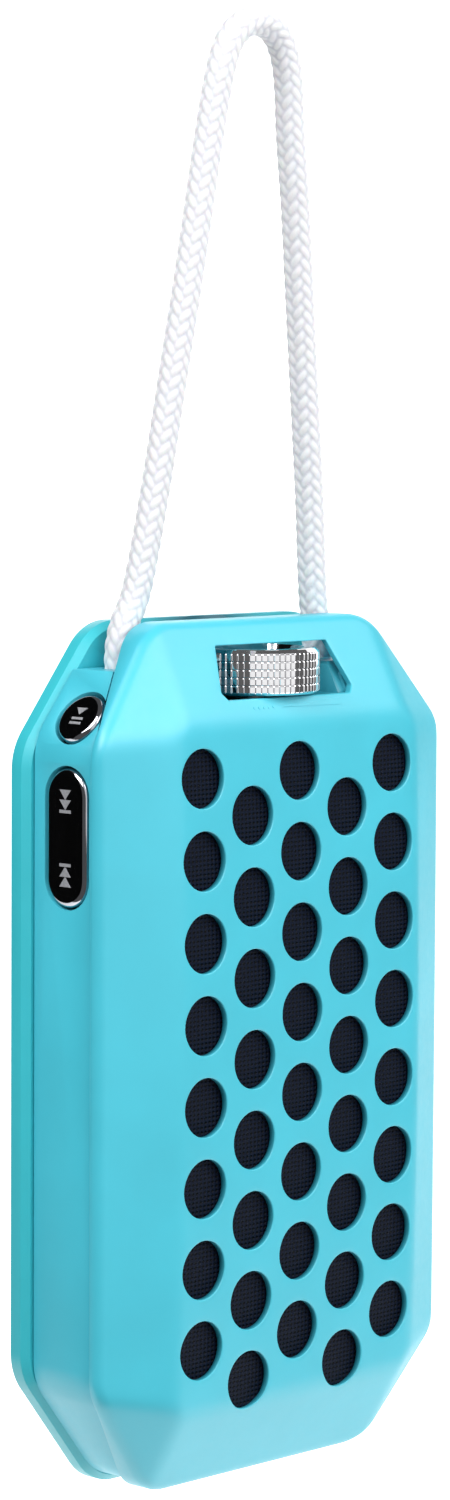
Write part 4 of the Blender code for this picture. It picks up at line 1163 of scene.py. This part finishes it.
def make_rope():
    """The rope handle as a round braid along its real route."""
    left = [(x, y, z) for x, _, y, z in ROPE_LEGS]
    right = [(x, y, z) for _, x, y, z in reversed(ROPE_LEGS)]
    route = smooth_route(left + [ROPE_APEX] + right, ROPE_SPACING)
    lengths = [0.0]
    for near, far in zip(route, route[1:]):
        lengths.append(lengths[-1] + (far - near).length)
    rings = []
    heights = []
    for index, place in enumerate(route):
        tangent = (route[min(index + 1, len(route) - 1)] - route[max(index - 1, 0)]).normalized()
        side = tangent.cross(Vector((0, 1, 0))).normalized()
        up = side.cross(tangent)
        points = []
        for step in range(ROPE_SIDES):
            turn = step / ROPE_SIDES
            height = braid_height(turn, lengths[index])
            heights.append(height)
            radius = ROPE_DIAMETER / 2 - ROPE_SKIN - BRAID_DEPTH * (1 - height)
            angle = math.tau * turn
            points.append(place + (side * math.cos(angle) + up * math.sin(angle)) * radius)
        rings.append(points)
    mesh = mesh_from(loft(rings), "braided_rope", 70)
    mesh.attributes.new(STRAND_HEIGHT, "FLOAT", "POINT").data.foreach_set("value", heights)
    rope = add_piece("braided_rope", mesh, FINISHES["rope_white"])
    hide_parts("rope_handle")


make_rope()


# ---------------------------------------------------------------- marks under the window
MARK_HEIGHT = 0.00020
MARK_Z = 0.0637
MARK_DOTS = 5
MARK_DOT_RADIUS = 0.00022
MARK_DOT_STEP = 0.0012
MARK_START = -0.0100
MARK_WEDGE = ((-0.0030, -0.0001), (0.0122, -0.0003), (0.0122, 0.0009))


def make_marks():
    """Faint raised marks under the wheel: a row of dots that turns into a growing wedge."""
    shapes = [circle(MARK_DOT_RADIUS, 12, MARK_START + MARK_DOT_STEP * step, MARK_Z)
              for step in range(MARK_DOTS)]
    shapes.append([(x, MARK_Z + z) for x, z in MARK_WEDGE])
    shape = bmesh.new()
    for corners in shapes:
        corners = divided(corners, MM)
        loft([[(x, front_depth(x, z) - height, z) for x, z in corners]
              for height in (-MARK_HEIGHT, MARK_HEIGHT / 2)], True, shape)
    marks = add_piece("volume_marks", mesh_from(shape, "volume_marks"), FINISHES["turquoise_plastic"])


make_marks()


# ---------------------------------------------------------------- room and light
SPEAKER_MIDDLE = Vector((0.0, 0.0, -0.17))
FLOOR_DROP = 0.38
CARD_DIRECTION = (-0.50, 0.78, 0.30)
CARD_DISTANCE = 0.8
CARD_HALF = 0.62
PAPER_FRONT = 0.15
PAPER_BACK = 1.0
PAPER_BEND = 0.5
PAPER_HEIGHT = 1.6
PAPER_HALF = 1.1
PAPER_GLOW = 0.90
ROOM_GLOW = 0.12
FRONT_BOX = 0.92
BRIGHT_BOX = 2.95
LEFT_BOX = 6.4


def soft_box(name, direction, distance, size, radiance):
    """A soft box in a direction from the speaker, facing it, with a given brightness of its surface."""
    data = bpy.data.lights.new(name, "AREA")
    data.shape = "RECTANGLE"
    data.size, data.size_y = size
    data.energy = radiance * math.pi * size[0] * size[1]
    lamp = bpy.data.objects.new(name, data)
    lamp.location = SPEAKER_MIDDLE + Vector(direction).normalized() * distance
    lamp.rotation_euler = (SPEAKER_MIDDLE - lamp.location).to_track_quat("-Z", "Y").to_euler()
    bpy.context.scene.collection.objects.link(lamp)


def make_studio_paper():
    """A roll of white paper: a pale floor under the hanging speaker that curves up behind it."""
    nodes = Nodes("studio_paper")
    nodes.roughness(nodes.noise(6, 3), 0.8075, 1.0)
    nodes.set(Base_Color=(0.93, 0.93, 0.93, 1.0), Emission_Color=(1.0, 1.0, 1.0, 1.0),
              Emission_Strength=PAPER_GLOW)
    profile = [(-PAPER_FRONT, 0.0)]
    for step in range(17):
        angle = math.pi / 2 * step / 16
        profile.append((PAPER_BACK + PAPER_BEND * math.sin(angle), PAPER_BEND * (1 - math.cos(angle))))
    profile.append((PAPER_BACK + PAPER_BEND, PAPER_HEIGHT))
    shape = bmesh.new()
    sides = [[shape.verts.new((x, away, z)) for away, z in profile] for x in (-PAPER_HALF, PAPER_HALF)]
    for index in range(len(profile) - 1):
        shape.faces.new((sides[0][index], sides[1][index], sides[1][index + 1], sides[0][index + 1]))
    roll = add_piece("studio_paper", mesh_from(shape, "studio_paper", 60, False), nodes.material, None)
    roll.location = (0.0, 0.0, SPEAKER_MIDDLE.z - FLOOR_DROP)
    roll.rotation_euler = (0.0, 0.0, math.atan2(CAMERA_BACK[0], -CAMERA_BACK[1]))


def make_black_card():
    """A black card behind the speaker's left side, which the black buttons mirror."""
    black = plain_finish("card_black", (0.004, 0.004, 0.004), 0.95, 0.0, 20)
    black.node_tree.nodes["Principled BSDF"].inputs["Specular IOR Level"].default_value = 0.0
    shape = bmesh.new()
    bmesh.ops.create_grid(shape, x_segments=1, y_segments=1, size=CARD_HALF)
    card = add_piece("black_card", mesh_from(shape, "black_card", 35, False), black, None)
    direction = Vector(CARD_DIRECTION).normalized()
    card.location = SPEAKER_MIDDLE + direction * CARD_DISTANCE
    card.rotation_euler = direction.to_track_quat("Z", "Y").to_euler()
    card.visible_camera = False


def make_room():
    """White paper and walls, dim to the light, with a wide soft box in front and two more from above."""
    make_studio_paper()
    make_black_card()
    soft_box("front_box", (-0.12, -0.90, 0.46), 1.2, (2.3, 1.5), FRONT_BOX)
    soft_box("bright_box", (0.20, -0.73, 0.65), 1.1, (1.7, 0.55), BRIGHT_BOX)
    soft_box("left_box", (-0.70, -0.02, 0.71), 0.75, (0.46, 0.46), LEFT_BOX)
    world = bpy.data.worlds.new("studio")
    world.use_nodes = True
    tree = world.node_tree
    seen = tree.nodes.new("ShaderNodeMapRange")
    tree.links.new(tree.nodes.new("ShaderNodeLightPath").outputs["Is Camera Ray"], seen.inputs["Value"])
    seen.inputs["To Min"].default_value = ROOM_GLOW
    tree.nodes["Background"].inputs["Color"].default_value = (1.0, 1.0, 1.0, 1.0)
    tree.links.new(seen.outputs["Result"], tree.nodes["Background"].inputs["Strength"])
    bpy.context.scene.world = world
    bpy.context.scene.view_settings.view_transform = "Standard"


make_room()
